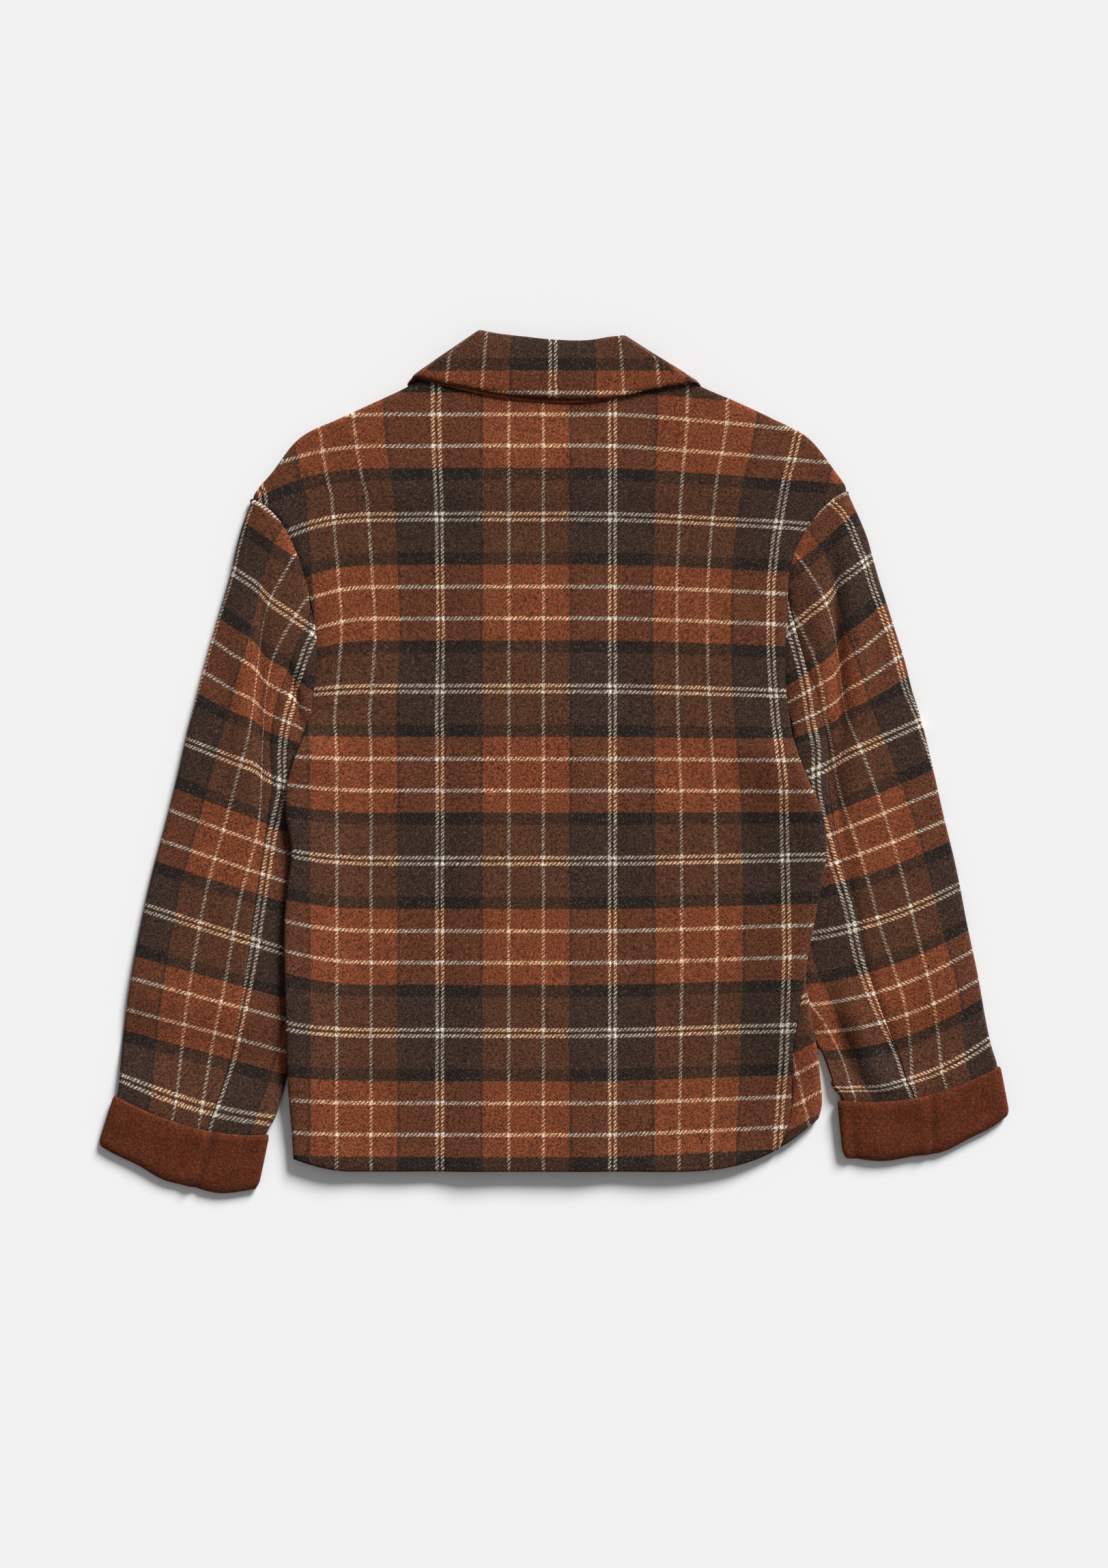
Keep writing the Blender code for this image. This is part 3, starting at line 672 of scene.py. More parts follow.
def body_rest(rows, x, y):
    """Height of the underside: it rides over the sleeves at the sides and over the collar's leaves."""
    lift = rows.lift_left * (1 - ease((x - rows.left) / LIFT_REACH))
    lift = lift + rows.lift_right * (1 - ease((rows.right - x) / LIFT_REACH))
    over_leaf = ease((y - LEAF_START_Y) / LEAF_RAMP)
    beside_leaf = 1 - ease((np.abs(x) - LEAF_HALF_WIDTH) / LEAF_SIDE_RAMP)
    return lift + LEAF_LIFT * over_leaf * beside_leaf


def body_opening(rows, x):
    round_off = rounding(np.minimum(x - rows.left, rows.right - x), ROUND)
    return 1 - rows.fold * (1 - round_off)


def body_upper(rows, x):
    """Inner face of the layer on top."""
    y = body_y(rows, x)
    over_lap = ease((x - LAP_START) / LAP_RAMP) * (1 - ease((x - LAP) / LAP_RAMP))
    over_lap = over_lap * (1 - ease((y - (NECK_Y - NECK_DEPTH)) / LAP_RAMP))
    opening = body_opening(rows, x)
    z = body_rest(rows, x, y) + CLOTH + CLEAR / 2 * (1 + opening) + LAP_LIFT * over_lap
    from_seam = np.minimum(x - rows.left, rows.right - x)
    z = z - SEAM_DIP * (1 - rows.fold) * bell(from_seam, SEAM_REACH)
    side = ease(from_seam / RELIEF_RAMP)
    return np.stack([x, y, z + relief(BACK_CREASES, x, y) * opening * side], axis=2)


def body_lower(rows, x, lift=0.0):
    """Inner face of the layer underneath."""
    y = body_y(rows, x)
    z = body_rest(rows, x, y) + CLOTH + CLEAR / 2 * (1 - body_opening(rows, x)) + lift
    return np.stack([x, y, z], axis=2)


def side_share(x, span):
    """0 where a span starts and 1 where its pull is full."""
    return (x - span.start) / (span.full - span.start)


def side_pull(table, y, left_share, right_share):
    """How far a table pulls the check at its left and right sides."""
    left = np.interp(y, column(table, "y"), column(table, "left"))
    right = np.interp(y, column(table, "y"), column(table, "right"))
    return left * left_share + right * right_share


def body_weave(x, y):
    left_share = ease(side_share(x, LEAN_LEFT))
    right_share = ease(side_share(x, LEAN_RIGHT))
    lean = side_pull(LEANS, y, left_share, right_share)
    left_share = np.clip(side_share(x, DROOP_LEFT), 0, None) ** DROOP_LEFT_POWER
    right_share = np.clip(side_share(x, DROOP_RIGHT), 0, None) ** DROOP_RIGHT_POWER
    droop = side_pull(DROOPS, y, left_share, right_share)
    u = (x - lean - BACK_LINE_X) / REPEAT_ACROSS
    v = (BACK_LINE_Y - y - droop) / REPEAT_DOWN
    return np.stack([u, v], axis=2)


def make_back(check, plain):
    rows = body_rows(STEP)
    end = np.where(rows.wrap > WRAP_LEAST, rows.right - rows.wrap - SEAM_INSET, rows.right)
    x = across(rows.left, end, STEP)
    points = body_upper(rows, x)
    from_seam = np.abs(end - x)
    points[:, :, 2] -= SEAM_DIP * (rows.wrap > WRAP_LEAST) * bell(from_seam, SEAM_REACH)
    return shell("back_cloth", points, body_weave(x, points[:, :, 1]), check, plain, False)


def front_end(rows):
    """Where a front ends, measured from the centre line: past it, or at the neckline."""
    depth = np.clip((NECK_Y - rows.middle_y) / NECK_DEPTH, 0, None)
    half_width = NECK_HALF_WIDTH * np.sqrt(np.clip(1 - depth**2, 0, None))
    return np.where(depth < 1, np.minimum(half_width, rows.right_x - 2 * ROUND), -LAP)


def strip_weave(x, y):
    line_x = STRIP_LINE_X + STRIP_LEAN * np.maximum(STRIP_LINE_Y - y, -STRIP_RISE)
    line_y = STRIP_LINE_Y + STRIP_SLOPE * (x - STRIP_LINE_X)
    u = STRIP_LINE_ACROSS + (x - line_x) / REPEAT_ACROSS
    v = STRIP_LINE_DOWN + (line_y - y) / REPEAT_DOWN
    return np.stack([u, v], axis=2)


def under_strip_weave(rows, x, y):
    edge = strip_weave(np.broadcast_to(rows.right, x.shape), y)
    inside = rows.right - x
    straight = np.maximum(ease(inside / STRIP_REACH), 1 - ease(rows.wrap / STRIP_WRAP_RAMP))
    at_fold = STRIP_FOLD_X - STRIP_LINE_X + STRIP_LEAN * STRIP_RISE
    fold_across = STRIP_LINE_ACROSS + at_fold / REPEAT_ACROSS
    turned = edge[:, :, 0] + inside / REPEAT_ACROSS
    u = mix(turned, fold_across + (STRIP_FOLD_X - x) / REPEAT_ACROSS, straight)
    v = mix(edge[:, :, 1], (BACK_LINE_Y - y) / REPEAT_DOWN, straight)
    return np.stack([u, v], axis=2)


def make_fronts(check, plain):
    rows = body_rows(UNDER_STEP)
    centre = front_end(rows)
    x = across(-centre, rows.left + SEAM_INSET, UNDER_STEP)
    points = body_lower(rows, x, LAP_LIFT * ease((x - LAP_START) / LAP_RAMP))
    left = shell("front_left_cloth", points, body_weave(x, points[:, :, 1]), check, plain, False)
    rows = body_rows(STEP)
    centre = front_end(rows)
    shares = np.linspace(1, 0, STRIP_COLUMNS)
    wrapped = rows.right - np.maximum(rows.wrap, SLIVER) * shares
    under = across(rows.right - SEAM_INSET * (rows.wrap < WRAP_LEAST), centre, UNDER_STEP)[:, 1:]
    upper = body_upper(rows, wrapped)
    lower = body_lower(rows, under)
    is_wrap = (rows.wrap > WRAP_LEAST)[:, :, None]
    edge = body_lower(rows, rows.right - SLIVER * shares)
    points = np.concatenate([np.where(is_wrap, upper, edge), lower], axis=1)
    seam = SEAM_DIP * bell(rows.wrap * (1 - shares), SEAM_REACH)
    points[:, : len(shares), 2] -= seam * is_wrap[:, :, 0]
    strip = strip_weave(wrapped, upper[:, :, 1])
    weave = np.concatenate([strip, under_strip_weave(rows, under, lower[:, :, 1])], axis=1)
    right = shell("front_right_cloth", points, weave, check, plain, False)
    return left, right


# The sleeves and cuffs


def cuff_lines(cuff, share, inset):
    """Both ends of lines across the cuff at shares of its depth, moved in by the inset, and their bow."""
    top, bottom = cuff
    outer_x = mix(top.outer_x, bottom.outer_x, share)
    outer_y = mix(top.outer_y, bottom.outer_y, share)
    inner_x = mix(top.inner_x, bottom.inner_x, share)
    inner_y = mix(top.inner_y, bottom.inner_y, share)
    outer = np.stack([outer_x, outer_y], axis=-1)
    inner = np.stack([inner_x, inner_y], axis=-1)
    along = (inner - outer) / np.linalg.norm(inner - outer, axis=-1, keepdims=True)
    inset = np.broadcast_to(inset, share.shape)[..., None]
    return outer + along * inset, inner - along * inset, mix(top.bow, bottom.bow, share)


SleeveRow = namedtuple("SleeveRow", ArmRow._fields + ("fold", "under_line"))


def sleeve_rows(sleeve, step):
    """Smooth rows of a sleeve, from the shoulder to its end inside the cuff."""
    names = (sleeve.side + "_x", sleeve.side + "_y")
    lines = sleeve.under_line
    table = []
    for index, line in enumerate(sleeve.cap):
        body = BODY_ROWS[ARMHOLE_TOP - index]
        ends = (line.outer_x, line.outer_y, getattr(body, names[0]), getattr(body, names[1]))
        repeats = (line.across, line.down_outer, line.down_inner)
        table.append(SleeveRow(*ends, line.seam, 0, 0, *repeats, index == ARMPIT, lines[index]))
    for index, line in enumerate(sleeve.arm):
        table.append(SleeveRow(*line, 1, lines[ARMPIT + 1 + index]))
    shares = np.array([SLEEVE_IN_CUFF, SLEEVE_END])
    outer, inner, bow = cuff_lines(sleeve.cuff, shares, CUFF_ROOM)
    last = sleeve.arm[-1]
    for index in range(len(shares)):
        further = math.dist(outer[index], (last.outer_x, last.outer_y)) / REPEAT_DOWN
        repeats = (last.across, last.down_outer + further, last.down_inner + further)
        ends = (*outer[index], *inner[index])
        table.append(SleeveRow(*ends, last.seam, bow[index], CUFF_ROOM, *repeats, 1, lines[-1]))
    lengths = np.maximum(row_lengths(table, "outer"), row_lengths(table, "inner"))
    places = even_places(lengths, step)
    rows = smooth_rows(table, places)
    rows.place = places[:, None]
    rows.fold = np.clip(rows.fold, 0, 1)
    rows.seam = np.clip(rows.seam, 0, 1)
    rows.lift = np.maximum(rows.lift, 0)
    sewn = places <= ARMPIT
    body_place = ARMHOLE_TOP - places[sewn]
    rows.inner_x[sewn, 0] = spline(column(BODY_ROWS, names[0]), body_place)
    rows.inner_y[sewn, 0] = spline(column(BODY_ROWS, names[1]), body_place)
    rows.width = np.hypot(rows.inner_x - rows.outer_x, rows.inner_y - rows.outer_y)
    rows.length = rows.width - CLOTH - mix(SEAM_INSET, CLOTH + FOLD_INSET, rows.fold)
    rows.seam_place = np.minimum(rows.seam * rows.width - CLOTH, rows.length)
    return rows


def across_point(outer, inner, distance, bow):
    """Plan points at distances from the outer ends of lines, sagging towards the cuff."""
    run = inner - outer
    width = np.linalg.norm(run, axis=-1, keepdims=True)
    along = run / width
    turn = np.sign(along[..., :1])
    down = np.concatenate([along[..., 1:] * turn, -along[..., :1] * turn], axis=-1)
    share = distance[..., None] / width
    sag = bow[..., None] * 4 * share * (1 - share)
    return outer + along * distance[..., None] + down * sag


def sleeve_points(rows, place, layer, creases):
    """Inner face of a sleeve at places along its rows; layer is 1 on top and -1 underneath."""
    open_inner = 1 - rows.fold * (1 - rounding(rows.length - place, ROUND))
    opening = rounding(place, ROUND) * open_inner
    outer = np.stack([rows.outer_x, rows.outer_y], axis=2)
    inner = np.stack([rows.inner_x, rows.inner_y], axis=2)
    plan = across_point(outer, inner, CLOTH + place, np.broadcast_to(rows.bow, place.shape))
    x = plan[:, :, 0]
    y = plan[:, :, 1]
    in_cuff = ease(rows.place - SQUEEZE_START)
    z = rows.lift + CLOTH + CLEAR / 2 * (1 - SQUEEZED * in_cuff) * (1 + layer * opening)
    if layer > 0:
        share = np.clip(place / rows.length, 0, 1)
        z = z + PUFF * 4 * share * (1 - share) * (1 - in_cuff)
        flattened = ease((rows.place - FLAT_START) / FLAT_RAMP)
        z = z + relief(creases, x, y) * opening * (1 - flattened)
        z = z - SEAM_DIP * (1 - rows.fold) * bell(rows.length - place, SEAM_REACH)
        at_elbow = (rows.seam < SEAM_SHOWS) * bell(place - rows.seam_place, SEAM_REACH)
        z = z - SEAM_DIP * at_elbow * (1 - in_cuff)
    return np.stack([x, y, np.broadcast_to(z, x.shape)], axis=2)


def end_thickness(rows):
    """The sleeve's cloth is thinner where its end lies inside the cuff."""
    return mix(1.0, END_CLOTH, ease((rows.place - END_START) / END_RAMP))


def hidden_cloth(creases, x, y):
    """How much cloth the creases hide between the outer fold and a point, and how far they shift it down."""
    hidden = np.zeros(x.shape)
    jog = np.zeros(x.shape)
    for crease in creases:
        side, strength = beside_path(crease, x, y)
        side = -side if x.mean() < 0 else side
        passed = ease(side / (2 * HIDE_REACH) + 0.5)
        hidden = hidden + crease.hides * strength * passed
        near = np.exp(-np.abs(side) / (JOG_REACH * crease.half_width))
        jog = jog + crease.jog * strength * (passed - 0.5) * near
    return hidden, jog


def sleeve_weave(rows, place, points, layer, creases, tucks):
    share = np.clip((place + CLOTH) / rows.width, 0, 1)
    down = mix(rows.down_outer, rows.down_inner, share)
    hidden, jog = hidden_cloth(creases, points[:, :, 0], points[:, :, 1])
    if tucks is not None:
        tucked = hidden_cloth(tucks, points[:, :, 0], points[:, :, 1])[0]
        u = (place - rows.seam_place - rows.under_line + tucked) / REPEAT_ACROSS
        if layer < 0:
            u = (2 * rows.length - place - rows.seam_place - rows.under_line) / REPEAT_ACROSS
    else:
        fold = FOLD_HIDES * np.exp(-place / FOLD_HIDES_REACH)
        turned = hidden - fold if layer > 0 else 2 * FOLD_HIDES - fold
        u = rows.across + layer * (place + turned) / REPEAT_ACROSS
    v = down - jog / REPEAT_DOWN if layer > 0 else down
    return np.stack(np.broadcast_arrays(u, v), axis=2)


def sleeve_shell(name, rows, columns, creases, tucks, flip, wools):
    """A sleeve's cloth, from its columns on top and underneath."""
    points = []
    weave = []
    for place, layer in zip(columns, (1, -1)):
        points.append(sleeve_points(rows, place, layer, creases))
        weave.append(sleeve_weave(rows, place, points[-1], layer, creases, tucks))
    points = np.concatenate(points, axis=1)
    weave = np.concatenate(weave, axis=1)
    return shell(name, points, weave, *wools, flip, CLOTH, end_thickness(rows))


def make_top_sleeve(name, rows, creases, flip, wools):
    end = rows.seam_place - SEAM_INSET * (rows.seam < SEAM_SHOWS)
    upper = across(end, np.zeros_like(end), STEP)
    lower = across(np.zeros_like(end), end, UNDER_STEP)[:, 1:]
    return sleeve_shell(name, rows, (upper, lower), creases, None, flip, wools)


def make_under_sleeve(name, rows, creases, tucks, flip, wools):
    kept = rows.seam[:, 0] < UNDER_SLEEVE_STARTS
    part = SimpleNamespace(**{key: value[kept] for key, value in vars(rows).items()})
    start = np.minimum(part.seam_place + SEAM_INSET, part.length - SLIVER)
    upper = across(start, part.length, STEP)
    lower = across(part.length, start, UNDER_STEP)[:, 1:]
    return sleeve_shell(name, part, (upper, lower), creases, tucks, flip, wools)


def make_cuff(name, cuff, seams, flip, plain):
    """A turned-up cuff: a ring round the sleeve's end, closed at its bottom fold."""
    top, bottom = cuff
    depth = math.dist((top.outer_x, top.outer_y), (bottom.outer_x, bottom.outer_y))
    turn_start = 1 - CLOTH / depth - CUFF_TURN / depth
    turn = np.linspace(0, math.pi / 2, CUFF_TURN_ROWS)[1:]
    flat = np.linspace(EDGE[-1] / depth, turn_start, CUFF_FLAT_ROWS)
    flat_shares = np.concatenate([EDGE[:-1] / depth, flat])
    shares = np.concatenate([flat_shares, turn_start + CUFF_TURN / depth * np.sin(turn)])
    turned = np.concatenate([np.ones(len(flat_shares)), np.cos(turn)])
    heights = mix(top.height, bottom.height, shares) * mix(CUFF_LIP, 1.0, turned)
    inset = CLOTH + CUFF_CORNER * (1 - turned)
    outer, inner, bow = cuff_lines(cuff, shares, inset)
    width = np.linalg.norm(inner - outer, axis=1)[:, None]
    place = across(np.zeros_like(width), width, CUFF_STEP)
    share = place / width
    down = shares[:, None]
    half_height = (CLEAR / 2 + CUFF_ROOM) * heights[:, None]
    opening = rounding(place, CUFF_FOLD) * rounding(width - place, CUFF_FOLD)
    skew = mix(top.skew, bottom.skew, down)
    wavy = bow[:, None] * (1 + skew * (share - 0.5))
    turns = share * CUFF_WOBBLE_TURNS + CUFF_WOBBLE_START
    wavy = wavy + CUFF_WOBBLE * down * np.sin(math.tau * turns)
    plan = across_point(outer[:, None, :], inner[:, None, :], place, wavy)
    x = plan[:, :, 0]
    y = plan[:, :, 1]
    thick = np.ones_like(place)
    tint = np.zeros_like(place)
    for seam in seams:
        beside = (share - mix(seam.top_share, seam.bottom_share, down)) * width * seam.side
        ridge = bell(beside + CUFF_SEAM_REACH, CUFF_SEAM_REACH)
        groove = bell(beside, CUFF_DIP_REACH)
        thick = thick + seam.rise * ridge - seam.dip * groove
        # Painted light: each seam's ridge is painted lighter as a highlight and its groove painted darker as
        # shade.
        tint = tint + seam.tint * (RIDGE_PAINTED_HIGHLIGHT * ridge - groove)
    relief_z = np.zeros_like(place)
    for swell in CUFF_SWELLS:
        turns = share * swell.across + down * swell.down + swell.start
        relief_z = relief_z + swell.height * np.sin(math.tau * turns)
    middle = CLOTH + half_height
    upper_z = middle + (half_height + relief_z * heights[:, None]) * opening
    lower_z = middle - half_height * opening
    upper = np.stack([x, y, upper_z], axis=2)
    lower = np.stack([x, y, lower_z], axis=2)
    points = np.concatenate([upper[:, ::-1], lower[:, 1:]], axis=1)
    weave = np.zeros(points.shape[:2] + (2,))
    # The painted seam highlight and shade ride in the first count of the map, on the upper face only.
    weave[:, : place.shape[1], 0] = tint[:, ::-1]
    soft = mix(EDGE_THIN, 1.0, rounding(shares * depth, EDGE_ROUND)) * mix(CUFF_THIN, 1.0, turned)
    thick = np.concatenate([thick[:, ::-1], np.ones_like(lower_z[:, 1:])], axis=1)
    return shell(name, points, weave, plain, plain, flip, CLOTH, soft[:, None] * thick)


# The collar


def collar_columns(places):
    stations = smooth_rows(COLLAR, places)
    stations.height = np.clip(stations.height, 0, 1)
    roll = np.concatenate([stations.roll_x, stations.roll_y - CLOTH], axis=1)
    edge = np.concatenate([stations.edge_x, stations.edge_y], axis=1)
    return stations, roll, edge


def make_collar(check, plain):
    lengths = np.maximum(row_lengths(COLLAR, "edge"), COLLAR_TURN * np.abs(np.diff(column(COLLAR, "height"))))
    places = even_places(lengths, COLLAR_STEP)
    stations, roll, edge = collar_columns(places)
    depth = np.linalg.norm(edge - roll, axis=1)[:, None]
    distance = across(np.zeros_like(depth), depth, COLLAR_STEP)
    share = distance / depth
    plan = roll[:, None, :] + (edge - roll)[:, None, :] * share[:, :, None]
    top = mix(ROLL_BASE, FALL_BASE, rounding(distance, ROLL_DEPTH))
    top = top + COLLAR_SWELL * np.sin(math.pi * share) * stations.height
    top = top + relief([], plan[:, :, 0], plan[:, :, 1]) * stations.height
    z = mix(CLOTH, top, stations.height)
    points = np.concatenate([plan, z[:, :, None]], axis=2)
    run = np.cumsum(np.concatenate([[0.0], np.linalg.norm(np.diff(edge, axis=0), axis=1)]))
    run = run - np.interp(COLLAR_MIDDLE, places, run)
    fan = mix(COLLAR_FAN_ROLL, COLLAR_FAN_EDGE, share)
    on_top = ease(places - FALL_FIRST + 1) * ease(FALL_LAST + 1 - places)
    u_top = (plan[:, :, 0] - COLLAR_LINE_X) / (REPEAT_ACROSS * fan)
    u_under = np.broadcast_to((run / REPEAT_ACROSS)[:, None], u_top.shape)
    u = mix(u_under, u_top, on_top[:, None])
    v_top = (COLLAR_LINE_Y - plan[:, :, 1]) / COLLAR_REPEAT_DOWN
    v_under = np.broadcast_to(LEAF_LINE_DOWN + distance / REPEAT_DOWN, u.shape)
    v = mix(v_under, v_top, on_top[:, None])
    soft = mix(EDGE_THIN, 1.0, rounding(depth - distance, EDGE_ROUND))
    return shell("collar_cloth", points, np.stack([u, v], axis=2), check, plain, False, CLOTH, soft)


def make_under_collar(plain):
    places = np.linspace(FALL_FIRST, FALL_LAST, UNDER_COLLAR_COLUMNS)
    roll, edge = collar_columns(places)[1:]
    depth = np.linalg.norm(edge - roll, axis=1)[:, None]
    peep = spline(PEEP, places - FALL_FIRST)[:, None]
    distance = across(np.full_like(depth, UNDER_COLLAR_TOP), depth + peep, UNDER_COLLAR_STEP)
    plan = roll[:, None, :] + (edge - roll)[:, None, :] * (distance / depth)[:, :, None]
    z = np.full(distance.shape + (1,), UNDER_COLLAR_BASE)
    points = np.concatenate([plan, z], axis=2)
    weave = np.zeros(distance.shape + (2,))
    return shell("under_collar_cloth", points, weave, plain, plain, False, UNDER_COLLAR_CLOTH)


def make_collar_stand(plain):
    places = np.linspace(FALL_FIRST + 1, FALL_LAST - 1, STAND_COLUMNS)
    stations, roll, edge = collar_columns(places)
    share = np.linspace(0, 1, STAND_ROWS)[None, :]
    depth = np.linalg.norm(edge - roll, axis=1)[:, None]
    top = roll + (edge - roll) * (STAND_TOP / depth)
    x = mix(stations.edge_x * STAND_NECK_SCALE, top[:, :1], share)
    y = mix(NECK_Y + CLOTH + STAND_GAP, top[:, 1:], share)
    z = np.full(x.shape, BACK_TOP - CLOTH)
    points = np.stack([x, y, z], axis=2)
    return shell("collar_stand_cloth", points, np.zeros(x.shape + (2,)), plain, plain, False)


# Materials


class Nodes:
    """Short ways to add nodes to a material's tree."""

    def __init__(self, material):
        self.tree = material.node_tree

    def add(self, kind, **settings):
        node = self.tree.nodes.new(kind)
        for name, value in settings.items():
            setattr(node, name, value)
        return node

    def put(self, socket, value):
        if isinstance(value, bpy.types.NodeSocket):
            self.tree.links.new(value, socket)
        else:
            socket.default_value = value

    def math(self, operation, *values, clamp=False):
        node = self.add("ShaderNodeMath", operation=operation, use_clamp=clamp)
        for index, value in enumerate(values):
            self.put(node.inputs[index], value)
        return node.outputs[0]

    def weave(self):
        """Both counts of the check, from the cloth's own map; on the cuffs the first count holds their
        painted seam highlight and shade.
        """
        split = self.add("ShaderNodeSeparateXYZ")
        self.put(split.inputs[0], self.add("ShaderNodeUVMap", uv_map="Weave").outputs["UV"])
        return split.outputs[0], split.outputs[1]

    def step(self, value, start, end):
        """Ease from 0 at start to 1 at end."""
        node = self.add("ShaderNodeMapRange", interpolation_type="SMOOTHSTEP")
        self.put(node.inputs["Value"], value)
        self.put(node.inputs["From Min"], start)
        self.put(node.inputs["From Max"], end)
        return node.outputs["Result"]

    def from_line(self, value):
        """Distance from the nearest whole number."""
        share = self.math("FRACT", self.math("ADD", value, 0.5))
        return self.math("ABSOLUTE", self.math("SUBTRACT", share, 0.5))

    def stripe(self, value, stripe):
        """The stripe's share inside it and 0 outside it."""
        distance = self.math("ABSOLUTE", self.math("SUBTRACT", value, stripe.centre))
        inner = stripe.half_width - stripe.soft
        outside = self.step(distance, inner, stripe.half_width + stripe.soft)
        return self.math("MULTIPLY", self.math("SUBTRACT", 1.0, outside), stripe.share)

    def colour(self, start, end, share, blend="MIX"):
        node = self.add("ShaderNodeMix", data_type="RGBA", blend_type=blend)
        self.put(node.inputs["Factor"], share)
        self.put(node.inputs[6], start)
        self.put(node.inputs[7], end)
        return node.outputs[2]

    def noise(self, place, scale, detail=2.0, roughness=0.5):
        node = self.add("ShaderNodeTexNoise")
        self.put(node.inputs["Vector"], place)
        self.put(node.inputs["Scale"], scale)
        self.put(node.inputs["Detail"], detail)
        self.put(node.inputs["Roughness"], roughness)
        return node.outputs["Fac"]


def rgb(levels):
    """A colour given in screen levels, as light."""
    return tuple((level / SCREEN_WHITE / LIT_LEVEL) ** SCREEN_POWER for level in levels) + (1.0,)


def new_material(name, settings):
    material = bpy.data.materials.new(name)
    material.use_nodes = True
    shader = material.node_tree.nodes["Principled BSDF"]
    for setting, value in settings.items():
        shader.inputs[setting].default_value = value
    return material, shader


def wool(name):
    material, shader = new_material(name, WOOL_SHADER)
    nodes = Nodes(material)
    place = nodes.add("ShaderNodeTexCoord").outputs["Object"]
    return material, nodes, shader, place


def shaded(nodes, colour, level):
    grey = nodes.add("ShaderNodeCombineColor")
    for socket in grey.inputs:
        nodes.put(socket, level)
    return nodes.colour(colour, grey.outputs[0], 1.0, "MULTIPLY")


def felt(nodes, place, colour, speckle):
    """Felted fibres: small light and dark flecks over a colour."""
    fine = nodes.noise(place, FINE_FIBRES, detail=1.0, roughness=0.7)
    coarse = nodes.noise(place, COARSE_FIBRES, detail=1.0, roughness=0.6)
    fine = nodes.math("MULTIPLY", fine, FINE_SHARE)
    both = nodes.math("ADD", fine, nodes.math("MULTIPLY", coarse, COARSE_SHARE))
    level = nodes.math("MULTIPLY_ADD", nodes.math("SUBTRACT", both, 0.5), speckle, 1.0)
    level = nodes.math("MINIMUM", nodes.math("MAXIMUM", level, SPECKLE_LOW), SPECKLE_HIGH)
    speckled = shaded(nodes, colour, level)
    flecks = nodes.step(nodes.noise(place, FLECKS, detail=1.0), *FLECK_EDGE)
    return nodes.colour(speckled, FLECK_COLOUR, nodes.math("MULTIPLY", flecks, FLECK_SHARE)), both


def bump(nodes, shader, height, distance):
    node = nodes.add("ShaderNodeBump")
    node.inputs["Strength"].default_value = BUMP_STRENGTH
    node.inputs["Distance"].default_value = distance
    nodes.put(node.inputs["Height"], height)
    nodes.put(shader.inputs["Normal"], node.outputs["Normal"])


def check_wool():
    """The brown check: dark and rust bands both ways, near-black edges, and light single and double lines."""
    material, nodes, shader, place = wool("check_wool")
    u, v = nodes.weave()
    fibres = nodes.noise(place, STRAY_FIBRES, detail=1.0)
    stray = nodes.math("MULTIPLY", nodes.math("SUBTRACT", fibres, 0.5), STRAY)
    u = nodes.math("ADD", u, stray)
    v = nodes.math("ADD", v, stray)
    from_u = nodes.from_line(u)
    from_v = nodes.from_line(v)
    rust_warp = nodes.step(from_u, *RUST_WARP_EDGE)
    rust_weft = nodes.step(from_v, *RUST_WEFT_EDGE)
    on_dark_weft = nodes.colour(rgb(DARK_DARK), rgb(RUST_DARK), rust_warp)
    on_rust_weft = nodes.colour(rgb(DARK_RUST), rgb(RUST_RUST), rust_warp)
    ground = nodes.colour(on_dark_weft, on_rust_weft, rust_weft)
    black_weft = nodes.colour(rgb(DARK_BLACK), rgb(RUST_BLACK), rust_warp)
    ground = nodes.colour(ground, black_weft, nodes.stripe(from_v, BLACK_WEFT))
    ground = nodes.colour(ground, rgb(BLACK_ANY), nodes.stripe(from_u, BLACK_WARP))
    turn = nodes.math("MULTIPLY", nodes.math("ADD", u, v), TWILL_RIBS * math.tau)
    twill = nodes.math("MULTIPLY_ADD", nodes.math("SINE", turn), 0.5, 0.5)
    over = nodes.step(twill, *TWILL_EDGE)
    warp_single = nodes.stripe(from_u, WARP_SINGLE)
    warp_line = nodes.math("MAXIMUM", nodes.stripe(from_u, WARP_DOUBLE), warp_single)
    weft_single = nodes.stripe(from_v, WEFT_SINGLE)
    weft_line = nodes.math("MAXIMUM", nodes.stripe(from_v, WEFT_DOUBLE), weft_single)
    warp_light = nodes.colour(rgb(LIGHT_DARK), rgb(LIGHT_RUST), rust_weft)
    weft_light = nodes.colour(rgb(DARK_LIGHT), rgb(RUST_LIGHT), rust_warp)
    warp_shows = nodes.math("MULTIPLY_ADD", over, WARP_SHOWS_OVER, WARP_SHOWS)
    weft_shows = nodes.math("MULTIPLY_ADD", over, WEFT_SHOWS_OVER, WEFT_SHOWS)
    cloth = nodes.colour(ground, warp_light, nodes.math("MULTIPLY", warp_line, warp_shows))
    cloth = nodes.colour(cloth, weft_light, nodes.math("MULTIPLY", weft_line, weft_shows))
    both_lines = nodes.math("MULTIPLY", warp_line, weft_line)
    crossing = nodes.math("MULTIPLY", both_lines, CROSSING_SHARE)
    cloth = nodes.colour(cloth, rgb(LIGHT_LIGHT), crossing)
    cloth = nodes.colour(cloth, rgb(RIB_COLOUR), nodes.math("MULTIPLY", twill, RIB_SHADE))
    cloth, fibres = felt(nodes, place, cloth, CHECK_SPECKLE)
    ribs = nodes.math("MULTIPLY_ADD", twill, RIB_RELIEF, fibres)
    bump(nodes, shader, ribs, CHECK_BUMP)
    nodes.put(shader.inputs["Base Color"], cloth)
    return material


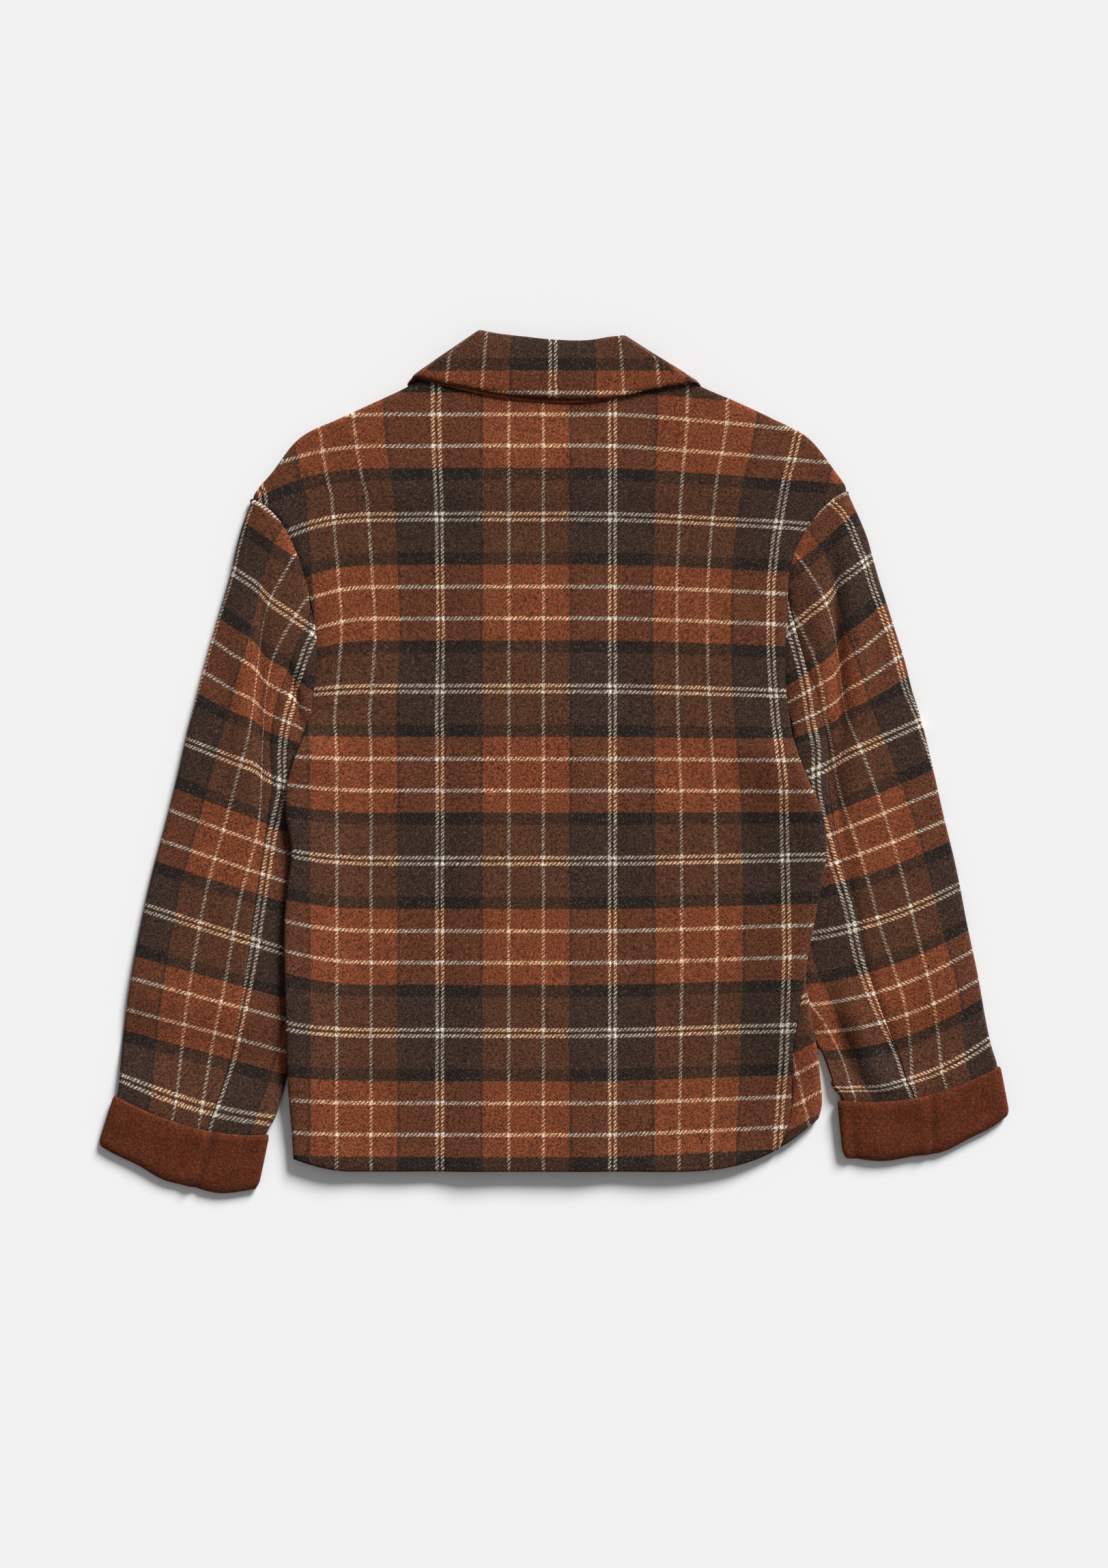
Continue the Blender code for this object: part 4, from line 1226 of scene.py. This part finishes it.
def plain_wool(name, with_painted_seam_light):
    """The plain rust inner face of the cloth; on the cuffs it carries painted highlight beside each seam and
    painted shade in its groove.
    """
    material, nodes, shader, place = wool(name)
    patches = nodes.noise(place, PATCHES, detail=3.0, roughness=0.6)
    colour = nodes.colour(rgb(PLAIN_DEEP), rgb(PLAIN_PALE), patches)
    if with_painted_seam_light:
        # Painted seam light: the colour is made lighter on seam ridges and darker in seam grooves by the
        # map's first count.
        colour = shaded(nodes, colour, nodes.math("ADD", nodes.weave()[0], 1.0))
    cloth, fibres = felt(nodes, place, colour, PLAIN_SPECKLE)
    bump(nodes, shader, fibres, PLAIN_BUMP)
    nodes.put(shader.inputs["Base Color"], cloth)
    return material


# Camera, light and floor


def make_camera():
    data = bpy.data.cameras.new("camera")
    data.sensor_width = SENSOR
    data.lens = SENSOR * (CAMERA_HEIGHT - LOOK_AT_HEIGHT) / VIEW_HEIGHT
    camera = put_in_scene("camera", data)
    camera.location = (0.0, CAMERA_Y, CAMERA_HEIGHT)
    bpy.context.scene.camera = camera


def make_light():
    data = bpy.data.lights.new("window", "SUN")
    data.energy = SUN_STRENGTH
    data.angle = math.radians(SUN_SPREAD)
    light = put_in_scene("window", data)
    light.rotation_euler = (math.radians(SUN_ELEVATION - 90), 0.0, math.radians(-SUN_AZIMUTH))
    world = bpy.data.worlds.new("sky")
    world.use_nodes = True
    sky = world.node_tree.nodes["Background"]
    sky.inputs["Color"].default_value = (1.0, 1.0, 1.0, 1.0)
    sky.inputs["Strength"].default_value = SKY_STRENGTH
    bpy.context.scene.world = world
    bpy.context.scene.view_settings.view_transform = "Standard"


def make_floor():
    half = FLOOR_SIZE / 2
    mesh = bpy.data.meshes.new("floor")
    corners = [(-half, -half, 0), (half, -half, 0), (half, half, 0), (-half, half, 0)]
    mesh.from_pydata(corners, [], [(0, 1, 2, 3)])
    mesh.materials.append(new_material("floor", FLOOR_SHADER)[0])
    floor = put_in_scene("floor", mesh)
    floor.location.z = -FLOOR_DROP


for old_object in list(bpy.data.objects):
    bpy.data.objects.remove(old_object)

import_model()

check = check_wool()
plain = plain_wool("plain_wool", False)
cuff_wool = plain_wool("cuff_wool", True)
back = make_back(check, plain)
front_left, front_right = make_fronts(check, plain)
pieces = [
    (back, "back", "check", (0.532, 0.704), 0.314),
    (front_left, "front_left", "check", (0.289, 0.704), 0.168),
    (front_right, "front_right", "check", (0.31, 0.704), 0.165),
]
for sleeve in SLEEVES:
    rows = sleeve_rows(sleeve, STEP)
    creases = sleeve.creases
    mirrored = sleeve.side == "right"
    name = "top_sleeve_" + sleeve.side
    top = make_top_sleeve(name + "_cloth", rows, creases, mirrored, (check, plain))
    pieces.append((top, name, "check", (0.26, 0.62), 0.10))
    name = "under_sleeve_" + sleeve.side
    under = make_under_sleeve(name + "_cloth", rows, creases, sleeve.tucks, not mirrored, (check, plain))
    pieces.append((under, name, "check", (0.12, 0.52), 0.04))
    name = "cuff_" + sleeve.side
    ring = make_cuff(name + "_cloth", sleeve.cuff, sleeve.seams, mirrored, cuff_wool)
    pieces.append((ring, name, "plain", (0.31, 0.055), 0.016))
pieces.append((make_collar(check, plain), "collar", "check", (0.55, 0.07), 0.0288))
pieces.append((make_under_collar(plain), "under_collar", "plain", (0.25, 0.045), 0.0085))
pieces.append((make_collar_stand(plain), "collar_stand", "plain", (0.16, 0.04), 0.0047))

for piece, node, slot, flat, area in pieces:
    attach(piece, "root")
    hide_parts(node)

make_floor()
make_light()
make_camera()
